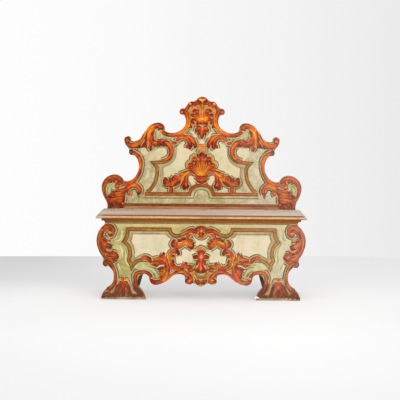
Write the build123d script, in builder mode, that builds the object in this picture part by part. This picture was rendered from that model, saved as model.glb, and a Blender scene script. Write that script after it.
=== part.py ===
from build123d import *
import os

os.makedirs("parts", exist_ok=True)

# Cassapanca: a painted chest bench with a scrolled front, a hinged seat and a tall shaped back.
# Millimetres. X runs along the bench, -Y is the front, Z is up from the floor.
# The origin is on the floor under the middle of the bench.

# Chest
chest_length = 1280.0  # over the two end boards
seat_height = 575.0  # floor to the top of the lid
inside_depth = 376.0  # front board to rear board
front_thickness = 28.0
end_thickness = 25.0
rear_thickness = 28.0
chest_underside = 230.0  # floor to the bottom edges of the end boards
scroll_overhang = 60.0  # front scrolls beyond the end boards

# Legs
leg_block_width = 90.0
leg_block_depth = 60.0
leg_block_inset = 125.0  # end board's outer face to the middle of the block
rear_leg_shoulder = 235.0  # height where the rear legs begin to taper
rear_leg_taper = 60.0
rear_gap_height = 215.0
rear_gap_foot_inset = 200.0  # end board's outer face to the gap, at the floor
rear_gap_head_inset = 262.0  # the same at the head of the gap

# Floor and corner blocks
floor_thickness = 15.0
cleat_width = 30.0
cleat_height = 22.0
corner_block_width = 38.0
corner_block_drop = 12.0  # below the rim of the chest

# Cornice under the lid
cornice_height = 33.0
cornice_projection = 25.0
cornice_fillet = 17.0
cornice_toe = 3.0

# Lid and the fixed strip of seat behind it
lid_thickness = 25.0
lid_overhang = 35.0  # lid nose beyond the cornice
lid_edge_run = 24.0  # width of the moulded edge
lid_nose = 11.0  # upright part of the moulded edge
lid_edge_swell = 2.6
lid_front_plank_width = 200.0
lid_batten_width = 50.0
lid_batten_thickness = 18.0
lid_batten_inset = 272.0  # lid's end to the middle of the batten
lid_batten_clearance = 20.0  # to the front board and to the fixed strip
seat_shelf = 50.0  # fixed strip in front of the back

# Back
backrest_thickness = 28.0
backrest_rise = 787.0  # seat to the top of the crest
batten_width = 70.0
batten_thickness = 22.0
batten_inset = 350.0  # lid's end to the middle of a side batten
batten_foot = 260.0  # height of the lower ends of the battens
side_batten_drop = 300.0  # below the top of the crest
centre_batten_drop = 110.0

# Hinges
hinge_inset = 220.0  # lid's end to the middle of an outer hinge
hinge_length = 80.0
hinge_gap = 1.2  # between the lid and the fixed strip
leaf_thickness = 2.0
leaf_height = 20.0
leaf_fit = 0.3  # around a leaf in its pocket
knuckle_radius = 5.0
knuckle_length = 30.0  # the lid's knuckle, between two of the rail's
knuckle_clearance = 0.5
pin_radius = 2.2
pin_clearance = 0.05

# Screws
hinge_screw_radius = 1.8
hinge_screw_length = 16.0
hinge_screw_spacing = 27.0
batten_screw_radius = 2.5
batten_screw_head = 5.0
batten_screw_bite = 18.0  # into the board behind the batten
screw_fit = 0.1
screw_edge_inset = 60.0  # end of a batten to its nearest screw

# Stations worked out from the sizes
chest_half = chest_length / 2
cornice_half = chest_half + cornice_projection
lid_half = cornice_half + lid_overhang
lid_core_half = lid_half - lid_edge_run
rim_height = seat_height - lid_thickness
floor_bottom = chest_underside + cleat_height
floor_top = floor_bottom + floor_thickness
crest_height = seat_height + backrest_rise

total_depth = (lid_overhang + cornice_projection + front_thickness + inside_depth
               + rear_thickness + batten_thickness)
y_nose = -total_depth / 2
y_front = y_nose + lid_overhang + cornice_projection
y_inside_front = y_front + front_thickness
y_inside_rear = y_inside_front + inside_depth
y_rear = y_inside_rear + rear_thickness
y_backrest = y_rear - backrest_thickness
y_hinge = y_backrest - seat_shelf
y_lid_rear = y_hinge - hinge_gap / 2
y_rail_front = y_hinge + hinge_gap / 2
y_lid_core = y_nose + lid_edge_run

hinge_places = {"left": hinge_inset - lid_half, "centre": 0.0, "right": lid_half - hinge_inset}
sides = {"left": -1, "right": 1}


def finish(builder, name):
    """Label a finished piece and write it out."""
    builder.part.label = name
    export_step(builder.part, f"parts/{name}.step")


def trace(place, start, stretches):
    """Draw a run of lines and arcs: each stretch is (end,) or (point on the arc, end)."""
    here = place(*start)
    for stretch in stretches:
        ahead = [place(*point) for point in stretch]
        if len(ahead) == 1:
            Line(here, ahead[0])
        else:
            ThreePointArc(here, *ahead)
        here = ahead[-1]


def box_between(low, high, mode=Mode.ADD):
    """A block between two opposite corners."""
    size = [b - a for a, b in zip(low, high)]
    with Locations(tuple((a + b) / 2 for a, b in zip(low, high))):
        Box(*size, mode=mode)


def screw(head_radius, shank_radius, length, slack=0.0, mode=Mode.ADD):
    """A countersunk screw along -Z of the current places, its head flush with their origins."""
    head_depth = head_radius - shank_radius
    down = (Align.CENTER, Align.CENTER, Align.MAX)
    Cone(shank_radius + slack, head_radius + slack, head_depth, align=down, mode=mode)
    Cylinder(shank_radius + slack, length + slack, align=down, mode=mode)


# Front board. Its outline is drawn on a squared pattern, 64 squares from the middle to the end
# board and 55 from the floor to the rim; the outer run keeps its distance from the end boards.
outer_square = scroll_overhang / 6
apron_square = chest_half / 64
front_square = rim_height / 55


def on_front_edge(across, up):
    return (chest_half + (across - 64) * outer_square, up * front_square)


def on_apron(across, up):
    return (across * apron_square, up * front_square)


with BuildPart() as front_board:
    with BuildSketch(Plane.XZ.offset(-y_inside_front)):
        with BuildLine():
            # Rim, big C-scroll, small volute, hollow neck and flared foot
            Line((0, rim_height), (chest_half, rim_height))
            trace(on_front_edge, (64, 55), [
                ((64, 50.6),),
                ((67.6, 47.4), (69.6, 42.4)),
                ((69.9, 38.6), (69.0, 34.6)),
                ((67.2, 30.6), (64.0, 26.8)),
                ((65.8, 24.3), (64.2, 22.2)),
                ((63.4, 22.1), (62.6, 22.5)),
                ((59.6, 20.2), (58.4, 15.6)),
                ((59.6, 10.6), (63.2, 7.7)),
                ((63.5, 6.8),),
                ((66.0, 3.9), (66.8, 0)),
            ])
            Line(on_front_edge(66.8, 0), on_apron(36.8, 0))
            # Inner side of the foot, arch, waved apron and pendant
            trace(on_apron, (36.8, 0), [
                ((38.2, 4.2), (41.5, 8.5)),
                ((42.5, 11.8), (41.6, 15.3)),
                ((38.6, 17.4), (34.9, 15.2)),
                ((34.4, 14.2),),
                ((33.0, 10.9), (29.6, 10.0)),
                ((25.3, 11.4), (20.2, 14.9)),
                ((14.4, 17.4), (9.6, 15.4)),
                ((9.1, 14.5),),
                ((10.7, 13.0), (9.2, 10.8)),
                ((7.3, 10.5), (5.2, 11.4)),
                ((3.9, 11.6), (2.8, 10.5)),
                ((1.5, 9.4), (0, 9.0)),
            ])
            mirror(about=Plane.YZ)
        make_face()
    extrude(amount=front_thickness)
finish(front_board, "front_board")

# End boards, between the front board and the rear board
for side, sign in sides.items():
    with BuildPart() as end_board:
        inner = sign * (chest_half - end_thickness)
        outer = sign * chest_half
        box_between((min(inner, outer), y_inside_front, chest_underside),
                    (max(inner, outer), y_inside_rear, rim_height))
    finish(end_board, f"{side}_end_board")

# Places of the screws through the battens behind the back, batten by batten
batten_tops = {batten_inset - lid_half: crest_height - side_batten_drop,
               0.0: crest_height - centre_batten_drop,
               lid_half - batten_inset: crest_height - side_batten_drop}
rear_screw_places = []
back_screw_places = []
for across, top in batten_tops.items():
    for height in (batten_foot + screw_edge_inset, rim_height - screw_edge_inset):
        rear_screw_places.append((across, height))
    for height in (seat_height + screw_edge_inset, top - screw_edge_inset):
        back_screw_places.append((across, height))
y_back = y_rear + batten_thickness
batten_screw_length = batten_thickness + batten_screw_bite


def from_behind(places):
    """Planes on the backs of the battens, facing away from the bench."""
    return [Plane(origin=(across, y_back, height), x_dir=(1, 0, 0), z_dir=(0, 1, 0))
            for across, height in places]


# Rear board: the rear wall of the chest, cut out below into two tapered legs
with BuildPart() as rear_board:
    with BuildSketch(Plane.XZ.offset(-y_rear)):
        with BuildLine():
            Polyline(
                (0, rim_height),
                (chest_half, rim_height),
                (chest_half, rear_leg_shoulder),
                (chest_half - rear_leg_taper, 0),
                (chest_half - rear_gap_foot_inset, 0),
                (chest_half - rear_gap_head_inset, rear_gap_height),
                (0, rear_gap_height),
            )
            mirror(about=Plane.YZ)
        make_face()
    extrude(amount=rear_thickness)
    with Locations(*from_behind(rear_screw_places)):
        screw(batten_screw_head, batten_screw_radius, batten_screw_length, screw_fit, Mode.SUBTRACT)
finish(rear_board, "rear_board")

# Floor planks on four cleats
inner_half = chest_half - end_thickness
floor_joint = y_inside_front + inside_depth / 2
for name, near, far in (("floor_front_plank", y_inside_front, floor_joint),
                        ("floor_rear_plank", floor_joint, y_inside_rear)):
    with BuildPart() as floor_plank:
        box_between((-inner_half, near, floor_bottom), (inner_half, far, floor_top))
    finish(floor_plank, name)

for name, near in (("floor_front_cleat", y_inside_front),
                   ("floor_rear_cleat", y_inside_rear - cleat_width)):
    with BuildPart() as long_cleat:
        box_between((-inner_half, near, chest_underside),
                    (inner_half, near + cleat_width, floor_bottom))
    finish(long_cleat, name)

for side, sign in sides.items():
    with BuildPart() as short_cleat:
        middle = sign * (inner_half - cleat_width / 2)
        box_between((middle - cleat_width / 2, y_inside_front + cleat_width, chest_underside),
                    (middle + cleat_width / 2, y_inside_rear - cleat_width, floor_bottom))
    finish(short_cleat, f"floor_{side}_cleat")

# Glued blocks: one upright in each inner corner of the chest, one behind each leg
for end, near_block, near_leg in (
        ("front", y_inside_front, y_inside_front),
        ("rear", y_inside_rear - corner_block_width, y_inside_rear - leg_block_depth)):
    for side, sign in sides.items():
        with BuildPart() as corner_block:
            middle = sign * (inner_half - corner_block_width / 2)
            box_between(
                (middle - corner_block_width / 2, near_block, floor_top),
                (middle + corner_block_width / 2, near_block + corner_block_width,
                 rim_height - corner_block_drop))
        finish(corner_block, f"{end}_{side}_corner_block")
        with BuildPart() as leg_block:
            middle = sign * (chest_half - leg_block_inset)
            box_between((middle - leg_block_width / 2, near_leg, 0),
                        (middle + leg_block_width / 2, near_leg + leg_block_depth, chest_underside))
        finish(leg_block, f"{end}_{side}_leg_block")

# Mitres of the mouldings, shared by the cornice and the edge of the lid
mitres = {side: Plane(origin=(sign * chest_half, y_front, 0), z_dir=(-sign, -1, 0))
          for side, sign in sides.items()}


def cornice_profile(face, outward):
    """Section of the cornice: a toe, a hollow and an upright fillet under the lid."""
    def place(out, up):
        return (face + outward * out, rim_height - cornice_height + up)
    hollow_height = cornice_height - cornice_fillet
    hollow_run = cornice_projection - cornice_toe
    trace(place, (0, 0), [
        ((cornice_toe, 0),),
        ((cornice_toe + hollow_run * 0.29, hollow_height * 0.71), (cornice_projection, hollow_height)),
        ((cornice_projection, cornice_height),),
        ((0, cornice_height),),
        ((0, 0),),
    ])


def lid_edge_profile(face, outward):
    """Section of the seat's moulded edge: an upright nose and a swelling slope up to the arris."""
    def place(out, up):
        return (face + outward * out, rim_height + up)
    trace(place, (0, 0), [
        ((lid_edge_run, 0),),
        ((lid_edge_run, lid_nose),),
        ((lid_edge_run / 2 + lid_edge_swell * 0.5,
          (lid_nose + lid_thickness) / 2 + lid_edge_swell * 0.87), (0, lid_thickness)),
        ((0, 0),),
    ])


# Cornice, mitred round the front and the two ends of the chest
with BuildPart() as cornice_front:
    with BuildSketch(Plane.YZ):
        with BuildLine():
            cornice_profile(y_front, -1)
        make_face()
    extrude(amount=cornice_half, both=True)
    for plane in mitres.values():
        split(bisect_by=plane, keep=Keep.TOP)
finish(cornice_front, "cornice_front")

for side, sign in sides.items():
    with BuildPart() as cornice_end:
        with BuildSketch(Plane.XZ.offset(-y_rear)):
            with BuildLine():
                cornice_profile(sign * chest_half, sign)
            make_face()
        extrude(amount=y_rear - y_front + cornice_projection)
        split(bisect_by=mitres[side], keep=Keep.BOTTOM)
    finish(cornice_end, f"cornice_{side}")


def hinge_pocket(wall, inward):
    """Cut the pockets of the three hinge leaves and the grooves of their knuckles."""
    for across in hinge_places.values():
        half = hinge_length / 2 + leaf_fit
        deep = wall + inward * leaf_thickness
        box_between((across - half, min(wall, deep), seat_height - leaf_height - leaf_fit),
                    (across + half, max(wall, deep), seat_height), Mode.SUBTRACT)
        with Locations(Location((across, y_hinge, seat_height), (0, 90, 0))):
            Cylinder(knuckle_radius + knuckle_clearance, half * 2, mode=Mode.SUBTRACT)


def leaf_screw_planes(wall, outward):
    """Planes on the three leaves of one side of the hinges, facing the gap."""
    return [Plane(origin=(across + step, wall, seat_height - leaf_height * 0.62),
                  x_dir=(1, 0, 0), z_dir=(0, outward, 0))
            for across in hinge_places.values()
            for step in (-hinge_screw_spacing, 0, hinge_screw_spacing)]


lid_leaf_planes = leaf_screw_planes(y_lid_rear, 1)
rail_leaf_planes = leaf_screw_planes(y_rail_front, -1)
hinge_screw_head = hinge_screw_radius + leaf_thickness

# Hinge rail: the fixed strip of seat under the back, with its two moulded ends
with BuildPart() as hinge_rail:
    box_between((-lid_core_half, y_rail_front, rim_height), (lid_core_half, y_rear, seat_height))
    hinge_pocket(y_rail_front, 1)
    with Locations(*rail_leaf_planes):
        screw(hinge_screw_head, hinge_screw_radius, hinge_screw_length, screw_fit, Mode.SUBTRACT)
finish(hinge_rail, "hinge_rail")

for side, sign in sides.items():
    with BuildPart() as rail_end:
        with BuildSketch(Plane.XZ.offset(-y_rear)):
            with BuildLine():
                lid_edge_profile(sign * lid_core_half, sign)
            make_face()
        extrude(amount=y_rear - y_rail_front)
    finish(rail_end, f"hinge_rail_{side}_moulding")

# Back. Its outline is drawn on a squared pattern too, 70 squares from the middle to the end of
# the seat and 78.7 from the seat to the top of the crest.
back_square_across = lid_half / 70
back_square_up = backrest_rise / 78.7


def on_back(across, up):
    return (across * back_square_across, seat_height + up * back_square_up)


with BuildPart() as backrest_board:
    with BuildSketch(Plane.XZ.offset(-y_rear)):
        with BuildLine():
            Line(on_back(0, 0), on_back(66.2, 0))
            trace(on_back, (66.2, 0), [
                # Foot and large lower volute
                ((65.8, 1.8), (64.9, 3.4)),
                ((68.3, 8.2), (70.0, 14.2)),
                ((67.6, 21.0), (61.4, 23.9)),
                ((57.2, 22.8), (54.5, 19.1)),
                # Long hollow, small volute and the volute above it
                ((49.2, 20.2), (45.4, 24.4)),
                ((44.0, 31.4), (46.4, 36.9)),
                ((47.6, 37.7), (49.6, 37.7)),
                ((50.9, 39.6), (49.9, 42.2)),
                ((52.8, 44.3), (54.1, 47.4)),
                ((52.2, 50.9), (49.4, 48.9)),
                ((49.4, 47.7),),
                # Sweep up to the shoulder volute
                ((45.4, 47.8), (42.2, 50.6)),
                ((40.4, 53.4), (38.4, 56.1)),
                ((34.6, 59.5), (30.0, 60.4)),
                ((26.9, 58.9), (25.9, 55.6)),
                ((25.7, 54.3),),
                # Second hollow, small volute and crest
                ((20.2, 53.3), (14.6, 55.5)),
                ((11.4, 60.0), (12.2, 65.0)),
                ((13.4, 66.2), (14.9, 66.3)),
                ((15.8, 68.2), (14.5, 70.2)),
                ((12.6, 70.7), (10.5, 70.7)),
                ((9.7, 74.1), (7.1, 75.4)),
                ((5.6, 75.2), (4.2, 75.4)),
                ((2.9, 77.7), (0, 78.7)),
            ])
            mirror(about=Plane.YZ)
        make_face()
    extrude(amount=backrest_thickness)
    with Locations(*from_behind(back_screw_places)):
        screw(batten_screw_head, batten_screw_radius, batten_screw_length, screw_fit, Mode.SUBTRACT)
finish(backrest_board, "backrest_board")

# Battens that tie the back to the rear wall of the chest, and their screws
for name, (across, top) in zip(("left", "centre", "right"), batten_tops.items()):
    with BuildPart() as backrest_batten:
        box_between((across - batten_width / 2, y_rear, batten_foot),
                    (across + batten_width / 2, y_back, top))
        mine = [place for place in rear_screw_places + back_screw_places if place[0] == across]
        with Locations(*from_behind(mine)):
            screw(batten_screw_head, batten_screw_radius, batten_screw_length, screw_fit, Mode.SUBTRACT)
    finish(backrest_batten, f"backrest_{name}_batten")

with BuildPart() as backrest_batten_screws:
    with Locations(*from_behind(rear_screw_places + back_screw_places)):
        screw(batten_screw_head, batten_screw_radius, batten_screw_length)
finish(backrest_batten_screws, "backrest_batten_screws")

# Lid: two planks with a mitred moulding on three edges
lid_joint = y_lid_core + lid_front_plank_width
batten_under = rim_height - lid_batten_thickness
batten_near = y_inside_front + lid_batten_clearance
batten_far = y_rail_front - lid_batten_clearance
batten_across = lid_half - lid_batten_inset
lid_screw_length = lid_batten_thickness + lid_thickness * 0.6
lid_screw_planes = [Plane(origin=(sign * batten_across, y, batten_under), z_dir=(0, 0, -1))
                    for sign in sides.values()
                    for y in (batten_near + screw_edge_inset / 2, lid_joint - screw_edge_inset,
                              lid_joint + screw_edge_inset, batten_far - screw_edge_inset / 2)]

with BuildPart() as lid_front_plank:
    box_between((-lid_core_half, y_lid_core, rim_height), (lid_core_half, lid_joint, seat_height))
    with Locations(*lid_screw_planes):
        screw(batten_screw_head, batten_screw_radius, lid_screw_length, screw_fit, Mode.SUBTRACT)
finish(lid_front_plank, "lid_front_plank")

with BuildPart() as lid_rear_plank:
    box_between((-lid_core_half, lid_joint, rim_height), (lid_core_half, y_lid_rear, seat_height))
    hinge_pocket(y_lid_rear, -1)
    with Locations(*lid_screw_planes):
        screw(batten_screw_head, batten_screw_radius, lid_screw_length, screw_fit, Mode.SUBTRACT)
    with Locations(*lid_leaf_planes):
        screw(hinge_screw_head, hinge_screw_radius, hinge_screw_length, screw_fit, Mode.SUBTRACT)
finish(lid_rear_plank, "lid_rear_plank")

with BuildPart() as lid_front_moulding:
    with BuildSketch(Plane.YZ):
        with BuildLine():
            lid_edge_profile(y_lid_core, -1)
        make_face()
    extrude(amount=lid_half, both=True)
    for plane in mitres.values():
        split(bisect_by=plane, keep=Keep.TOP)
finish(lid_front_moulding, "lid_front_moulding")

for side, sign in sides.items():
    with BuildPart() as lid_end_moulding:
        with BuildSketch(Plane.XZ.offset(-y_lid_rear)):
            with BuildLine():
                lid_edge_profile(sign * lid_core_half, sign)
            make_face()
        extrude(amount=y_lid_rear - y_nose)
        split(bisect_by=mitres[side], keep=Keep.BOTTOM)
    finish(lid_end_moulding, f"lid_{side}_moulding")

# Battens under the lid, inside the chest, and their screws
for side, sign in sides.items():
    with BuildPart() as lid_batten:
        middle = sign * batten_across
        box_between((middle - lid_batten_width / 2, batten_near, batten_under),
                    (middle + lid_batten_width / 2, batten_far, rim_height))
        with Locations(*lid_screw_planes):
            screw(batten_screw_head, batten_screw_radius, lid_screw_length, screw_fit, Mode.SUBTRACT)
    finish(lid_batten, f"lid_{side}_batten")

with BuildPart() as lid_batten_screws:
    with Locations(*lid_screw_planes):
        screw(batten_screw_head, batten_screw_radius, lid_screw_length)
finish(lid_batten_screws, "lid_batten_screws")


# Hinges: the lid's leaf has the middle knuckle, the rail's leaf the two outer ones
def along_hinge(across):
    """Place on the hinge line, with Z along the bench."""
    return Location((across, y_hinge, seat_height), (0, 90, 0))


outer_knuckle = (hinge_length - knuckle_length) / 2 - knuckle_clearance
outer_offset = (hinge_length - outer_knuckle) / 2
for place, across in hinge_places.items():
    with BuildPart() as lid_leaf:
        box_between((across - hinge_length / 2, y_lid_rear - leaf_thickness, seat_height - leaf_height),
                    (across + hinge_length / 2, y_lid_rear, seat_height))
        with Locations(along_hinge(across - outer_offset), along_hinge(across + outer_offset)):
            Cylinder(knuckle_radius + knuckle_clearance,
                     outer_knuckle + 2 * knuckle_clearance, mode=Mode.SUBTRACT)
        with Locations(along_hinge(across)):
            Cylinder(knuckle_radius, knuckle_length)
            Cylinder(pin_radius + pin_clearance, hinge_length, mode=Mode.SUBTRACT)
        with Locations(*lid_leaf_planes):
            screw(hinge_screw_head, hinge_screw_radius, hinge_screw_length, screw_fit, Mode.SUBTRACT)
    finish(lid_leaf, f"{place}_hinge_lid_leaf")

    with BuildPart() as rail_leaf:
        box_between((across - hinge_length / 2, y_rail_front, seat_height - leaf_height),
                    (across + hinge_length / 2, y_rail_front + leaf_thickness, seat_height))
        with Locations(along_hinge(across)):
            Cylinder(knuckle_radius + knuckle_clearance,
                     knuckle_length + 2 * knuckle_clearance, mode=Mode.SUBTRACT)
        with Locations(along_hinge(across - outer_offset), along_hinge(across + outer_offset)):
            Cylinder(knuckle_radius, outer_knuckle)
        with Locations(along_hinge(across)):
            Cylinder(pin_radius, hinge_length, mode=Mode.SUBTRACT)
        with Locations(*rail_leaf_planes):
            screw(hinge_screw_head, hinge_screw_radius, hinge_screw_length, screw_fit, Mode.SUBTRACT)
    finish(rail_leaf, f"{place}_hinge_rail_leaf")

    with BuildPart() as hinge_pin:
        with Locations(along_hinge(across)):
            Cylinder(pin_radius, hinge_length)
    finish(hinge_pin, f"{place}_hinge_pin")

for name, planes in (("hinge_lid_screws", lid_leaf_planes), ("hinge_rail_screws", rail_leaf_planes)):
    with BuildPart() as hinge_screws:
        with Locations(*planes):
            screw(hinge_screw_head, hinge_screw_radius, hinge_screw_length)
    finish(hinge_screws, name)
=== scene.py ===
import math

import bmesh
import bpy
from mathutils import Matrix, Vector


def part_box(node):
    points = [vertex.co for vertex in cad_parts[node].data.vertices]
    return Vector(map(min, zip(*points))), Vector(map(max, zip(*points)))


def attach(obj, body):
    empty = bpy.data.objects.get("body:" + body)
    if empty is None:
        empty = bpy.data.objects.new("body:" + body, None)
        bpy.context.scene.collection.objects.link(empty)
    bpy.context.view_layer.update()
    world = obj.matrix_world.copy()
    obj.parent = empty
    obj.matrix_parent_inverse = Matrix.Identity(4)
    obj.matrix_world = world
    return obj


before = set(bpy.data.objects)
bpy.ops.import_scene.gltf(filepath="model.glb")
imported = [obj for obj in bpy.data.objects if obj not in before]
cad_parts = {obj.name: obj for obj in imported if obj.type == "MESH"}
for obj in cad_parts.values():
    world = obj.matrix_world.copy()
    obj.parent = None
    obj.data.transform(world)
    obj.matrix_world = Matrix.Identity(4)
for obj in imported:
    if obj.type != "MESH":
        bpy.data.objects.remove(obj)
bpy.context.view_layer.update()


# Carcass: rear wall, floor, cleats, corner and leg blocks, and the battens
# behind the back and under the lid. Sawn pine left bare, browned by age,
# glued and screwed together inside the painted boards.
def linear(code):
    """An sRGB hex colour as linear red, green, blue and full cover."""
    parts = [int(code[i : i + 2], 16) / 255 for i in (0, 2, 4)]
    return tuple(c / 12.92 if c <= 0.04045 else ((c + 0.055) / 1.055) ** 2.4 for c in parts) + (1.0,)


def fill(tree, node, inputs):
    """Sets each socket of a node to a value, or links it to a socket or to a node's first live output."""
    for socket, value in inputs.items():
        if isinstance(value, bpy.types.Node):
            value = next(output for output in value.outputs if output.enabled)
        if isinstance(value, bpy.types.NodeSocket):
            tree.links.new(value, node.inputs[socket])
        else:
            node.inputs[socket].default_value = value


def add(tree, kind, inputs=None, stops=None, **settings):
    """Adds one node with its settings, its ramp's colours, and what each socket holds or is linked to."""
    made = tree.nodes.new(kind)
    for name, value in settings.items():
        setattr(made, name, value)
    fill(tree, made, inputs or {})
    if stops:
        ends = made.color_ramp.elements
        ends[0].position, ends[0].color = stops[0][0], linear(stops[0][1])
        ends[1].position, ends[1].color = stops[-1][0], linear(stops[-1][1])
        for place, code in stops[1:-1]:
            made.color_ramp.elements.new(place).color = linear(code)
    return made


def finish_of(name, **sockets):
    """A material with one shader whose constant sockets are set, and its node tree."""
    material = bpy.data.materials.new(name)
    material.use_nodes = True
    tree = material.node_tree
    tree.nodes.clear()
    shader = add(tree, "ShaderNodeBsdfPrincipled", sockets)
    add(tree, "ShaderNodeOutputMaterial", {"Surface": shader})
    return material, tree, shader


def finished(material, *nodes):
    """Gives CAD nodes their finish through their slots."""
    for node in nodes:
        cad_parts[node].material_slots[0].material = material


def pine_colour(tree, place, grain, plank=None):
    """Bare pine's streaks along the grain; planks of one width, joined up the Z axis, differ a little."""
    # Growth rings are 4 mm wide in pine and drawn 12 mm wide, so that they show.
    stretch = [1 / 0.012] * 3
    stretch[grain] = 1 / 0.5
    lay = add(tree, "ShaderNodeMapping", {"Vector": place, "Scale": stretch})
    rings = add(tree, "ShaderNodeTexNoise", {"Vector": lay, "Scale": 1.0, "Detail": 4.0, "Distortion": 0.6})
    streaks = [(0.3, "5A3D26"), (0.5, "86623F"), (0.68, "9C7A52")]
    wood = add(tree, "ShaderNodeValToRGB", {"Fac": rings}, streaks)
    if plank:
        split = add(tree, "ShaderNodeSeparateXYZ", {"Vector": place})
        count = add(tree, "ShaderNodeMath", {0: split.outputs["Z"], 1: plank}, operation="DIVIDE")
        whole = add(tree, "ShaderNodeMath", {0: count}, operation="FLOOR")
        luck = add(tree, "ShaderNodeTexWhiteNoise", {"W": whole}, noise_dimensions="1D")
        share = add(tree, "ShaderNodeMath", {0: count}, operation="FRACT")
        open_joint = 0.002
        joint = add(tree, "ShaderNodeMath", {0: share, 1: open_joint / plank}, operation="GREATER_THAN")
        shade = add(tree, "ShaderNodeMapRange", {"Value": luck, "To Min": 0.78, "To Max": 1.08})
        dark = add(tree, "ShaderNodeMapRange", {"Value": joint, "To Min": 0.25, "To Max": 1.0})
        both = add(tree, "ShaderNodeMath", {0: shade, 1: dark}, operation="MULTIPLY")
        wood = add(tree, "ShaderNodeVectorMath", {0: wood, 3: both}, operation="SCALE")
    return wood, rings


def aged_pine(name, grain, plank=None):
    """Bare pine: brown streaks along the grain, darker late wood, and a dusty, dull face."""
    material, tree, shader = finish_of(name, IOR=1.5)
    place = add(tree, "ShaderNodeTexCoord").outputs["Object"]
    wood, rings = pine_colour(tree, place, grain, plank)
    # Dust lies in patches of about 120 mm.
    dust = add(tree, "ShaderNodeTexNoise", {"Vector": place, "Scale": 1 / 0.12, "Detail": 3.0})
    grey = add(tree, "ShaderNodeValToRGB", {"Fac": dust}, [(0.35, "B9A58C"), (0.7, "FFFFFF")])
    shade = add(
        tree, "ShaderNodeMix", {0: 0.75, 6: wood, 7: grey}, data_type="RGBA", blend_type="MULTIPLY"
    )
    rough = add(tree, "ShaderNodeMapRange", {"Value": rings, "To Min": 0.68, "To Max": 0.85})
    bump = add(tree, "ShaderNodeBump", {"Height": rings, "Strength": 0.35, "Distance": 0.001})
    fill(tree, shader, {"Base Color": shade, "Roughness": rough, "Normal": bump})
    return material


along_x, along_y, along_z = 0, 1, 2
rear_plank = 0.275
finished(aged_pine("aged_pine_planked", along_x, rear_plank), "rear_board")
pine_lengthwise = aged_pine("aged_pine_lengthwise", along_x)
pine_crosswise = aged_pine("aged_pine_crosswise", along_y)
pine_upright = aged_pine("aged_pine_upright", along_z)
finished(pine_lengthwise, "floor_front_plank", "floor_rear_plank", "floor_front_cleat", "floor_rear_cleat")
for side in ("left", "right"):
    finished(pine_crosswise, f"floor_{side}_cleat", f"lid_{side}_batten")
    for end in ("front", "rear"):
        finished(pine_upright, f"{end}_{side}_corner_block", f"{end}_{side}_leg_block")
finished(pine_upright, "backrest_left_batten", "backrest_centre_batten", "backrest_right_batten")


# Screws: slotted, through the hinges and battens. Forged iron, brown-black
# with rust.
iron, tree, shader = finish_of("forged_iron_rusted", Metallic=1.0)
place = add(tree, "ShaderNodeTexCoord").outputs["Object"]
# Rust blooms are about 6 mm across.
rust = add(tree, "ShaderNodeTexNoise", {"Vector": place, "Scale": 1 / 0.006, "Detail": 4.0})
rust_hues = [(0.4, "3A3531"), (0.55, "473A30"), (0.7, "6B4128")]
hue = add(tree, "ShaderNodeValToRGB", {"Fac": rust}, rust_hues)
dull = add(tree, "ShaderNodeMapRange", {"Value": rust, "To Min": 0.4, "To Max": 0.8})
pits = add(tree, "ShaderNodeBump", {"Height": rust, "Strength": 0.4, "Distance": 0.0006})
fill(tree, shader, {"Base Color": hue, "Roughness": dull, "Normal": pits})
finished(iron, "hinge_lid_screws", "hinge_rail_screws", "lid_batten_screws", "backrest_batten_screws")


# Seat: two lid planks and the fixed strip behind them. Pine painted a marbled
# grey-pink with hints of green, rubbed thin along the grain by use; the
# underside is bare.
def tempera(name, ground, clouds_mm, streak=(1, 1, 1), grime_share=1.0, vein=None):
    """Egg tempera over gesso: cloudy colour, fine craquelure and grime, with a soft eggshell face."""
    material, tree, shader = finish_of(name, **{"IOR": 1.45, "Specular IOR Level": 0.25})
    place = add(tree, "ShaderNodeTexCoord").outputs["Object"]
    stretch = [share / (clouds_mm / 1000) for share in streak]
    lay = add(tree, "ShaderNodeMapping", {"Vector": place, "Scale": stretch})
    clouds = add(tree, "ShaderNodeTexNoise", {"Vector": lay, "Scale": 1.0, "Detail": 5.0, "Roughness": 0.6})
    colour = add(tree, "ShaderNodeValToRGB", {"Fac": clouds}, ground)
    if vein:
        # Marbling veins are dragged with a feather, about 12 mm wide and 110 mm apart.
        flow = add(
            tree,
            "ShaderNodeTexNoise",
            {"Vector": place, "Scale": 1 / 0.11, "Detail": 4.0, "Distortion": 1.2},
        )
        feathered = [(0.43, "000000"), (0.5, "FFFFFF"), (0.57, "000000")]
        middle = add(tree, "ShaderNodeValToRGB", {"Fac": flow}, feathered)
        drawn = add(tree, "ShaderNodeMath", {0: middle, 1: 0.62}, operation="MULTIPLY")
        colour = add(tree, "ShaderNodeMix", {0: drawn, 6: colour, 7: linear(vein)}, data_type="RGBA")
    # Grime sits in patches of about 15 mm and specks of about 4 mm.
    for size, strength in ((0.015, 0.35 * grime_share), (0.004, 0.3 * grime_share)):
        grime = add(tree, "ShaderNodeTexNoise", {"Vector": place, "Scale": 1 / size, "Detail": 3.0})
        tint = add(tree, "ShaderNodeValToRGB", {"Fac": grime}, [(0.3, "9C8C6A"), (0.55, "FFFFFF")])
        colour = add(
            tree,
            "ShaderNodeMix",
            {0: strength, 6: colour, 7: tint},
            data_type="RGBA",
            blend_type="MULTIPLY",
        )
    rough = add(tree, "ShaderNodeMapRange", {"Value": clouds, "To Min": 0.58, "To Max": 0.75})
    # Craquelure is a net of about 9 mm cells.
    net = {"Vector": place, "Scale": 1 / 0.009}
    cracks = add(tree, "ShaderNodeTexVoronoi", net, feature="DISTANCE_TO_EDGE")
    edge = add(tree, "ShaderNodeMapRange", {"Value": cracks, "From Max": 0.06})
    bump = add(tree, "ShaderNodeBump", {"Height": edge, "Strength": 0.12, "Distance": 0.0005})
    fill(tree, shader, {"Base Color": colour, "Roughness": rough, "Normal": bump})
    return material, tree, shader, colour, place


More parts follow.
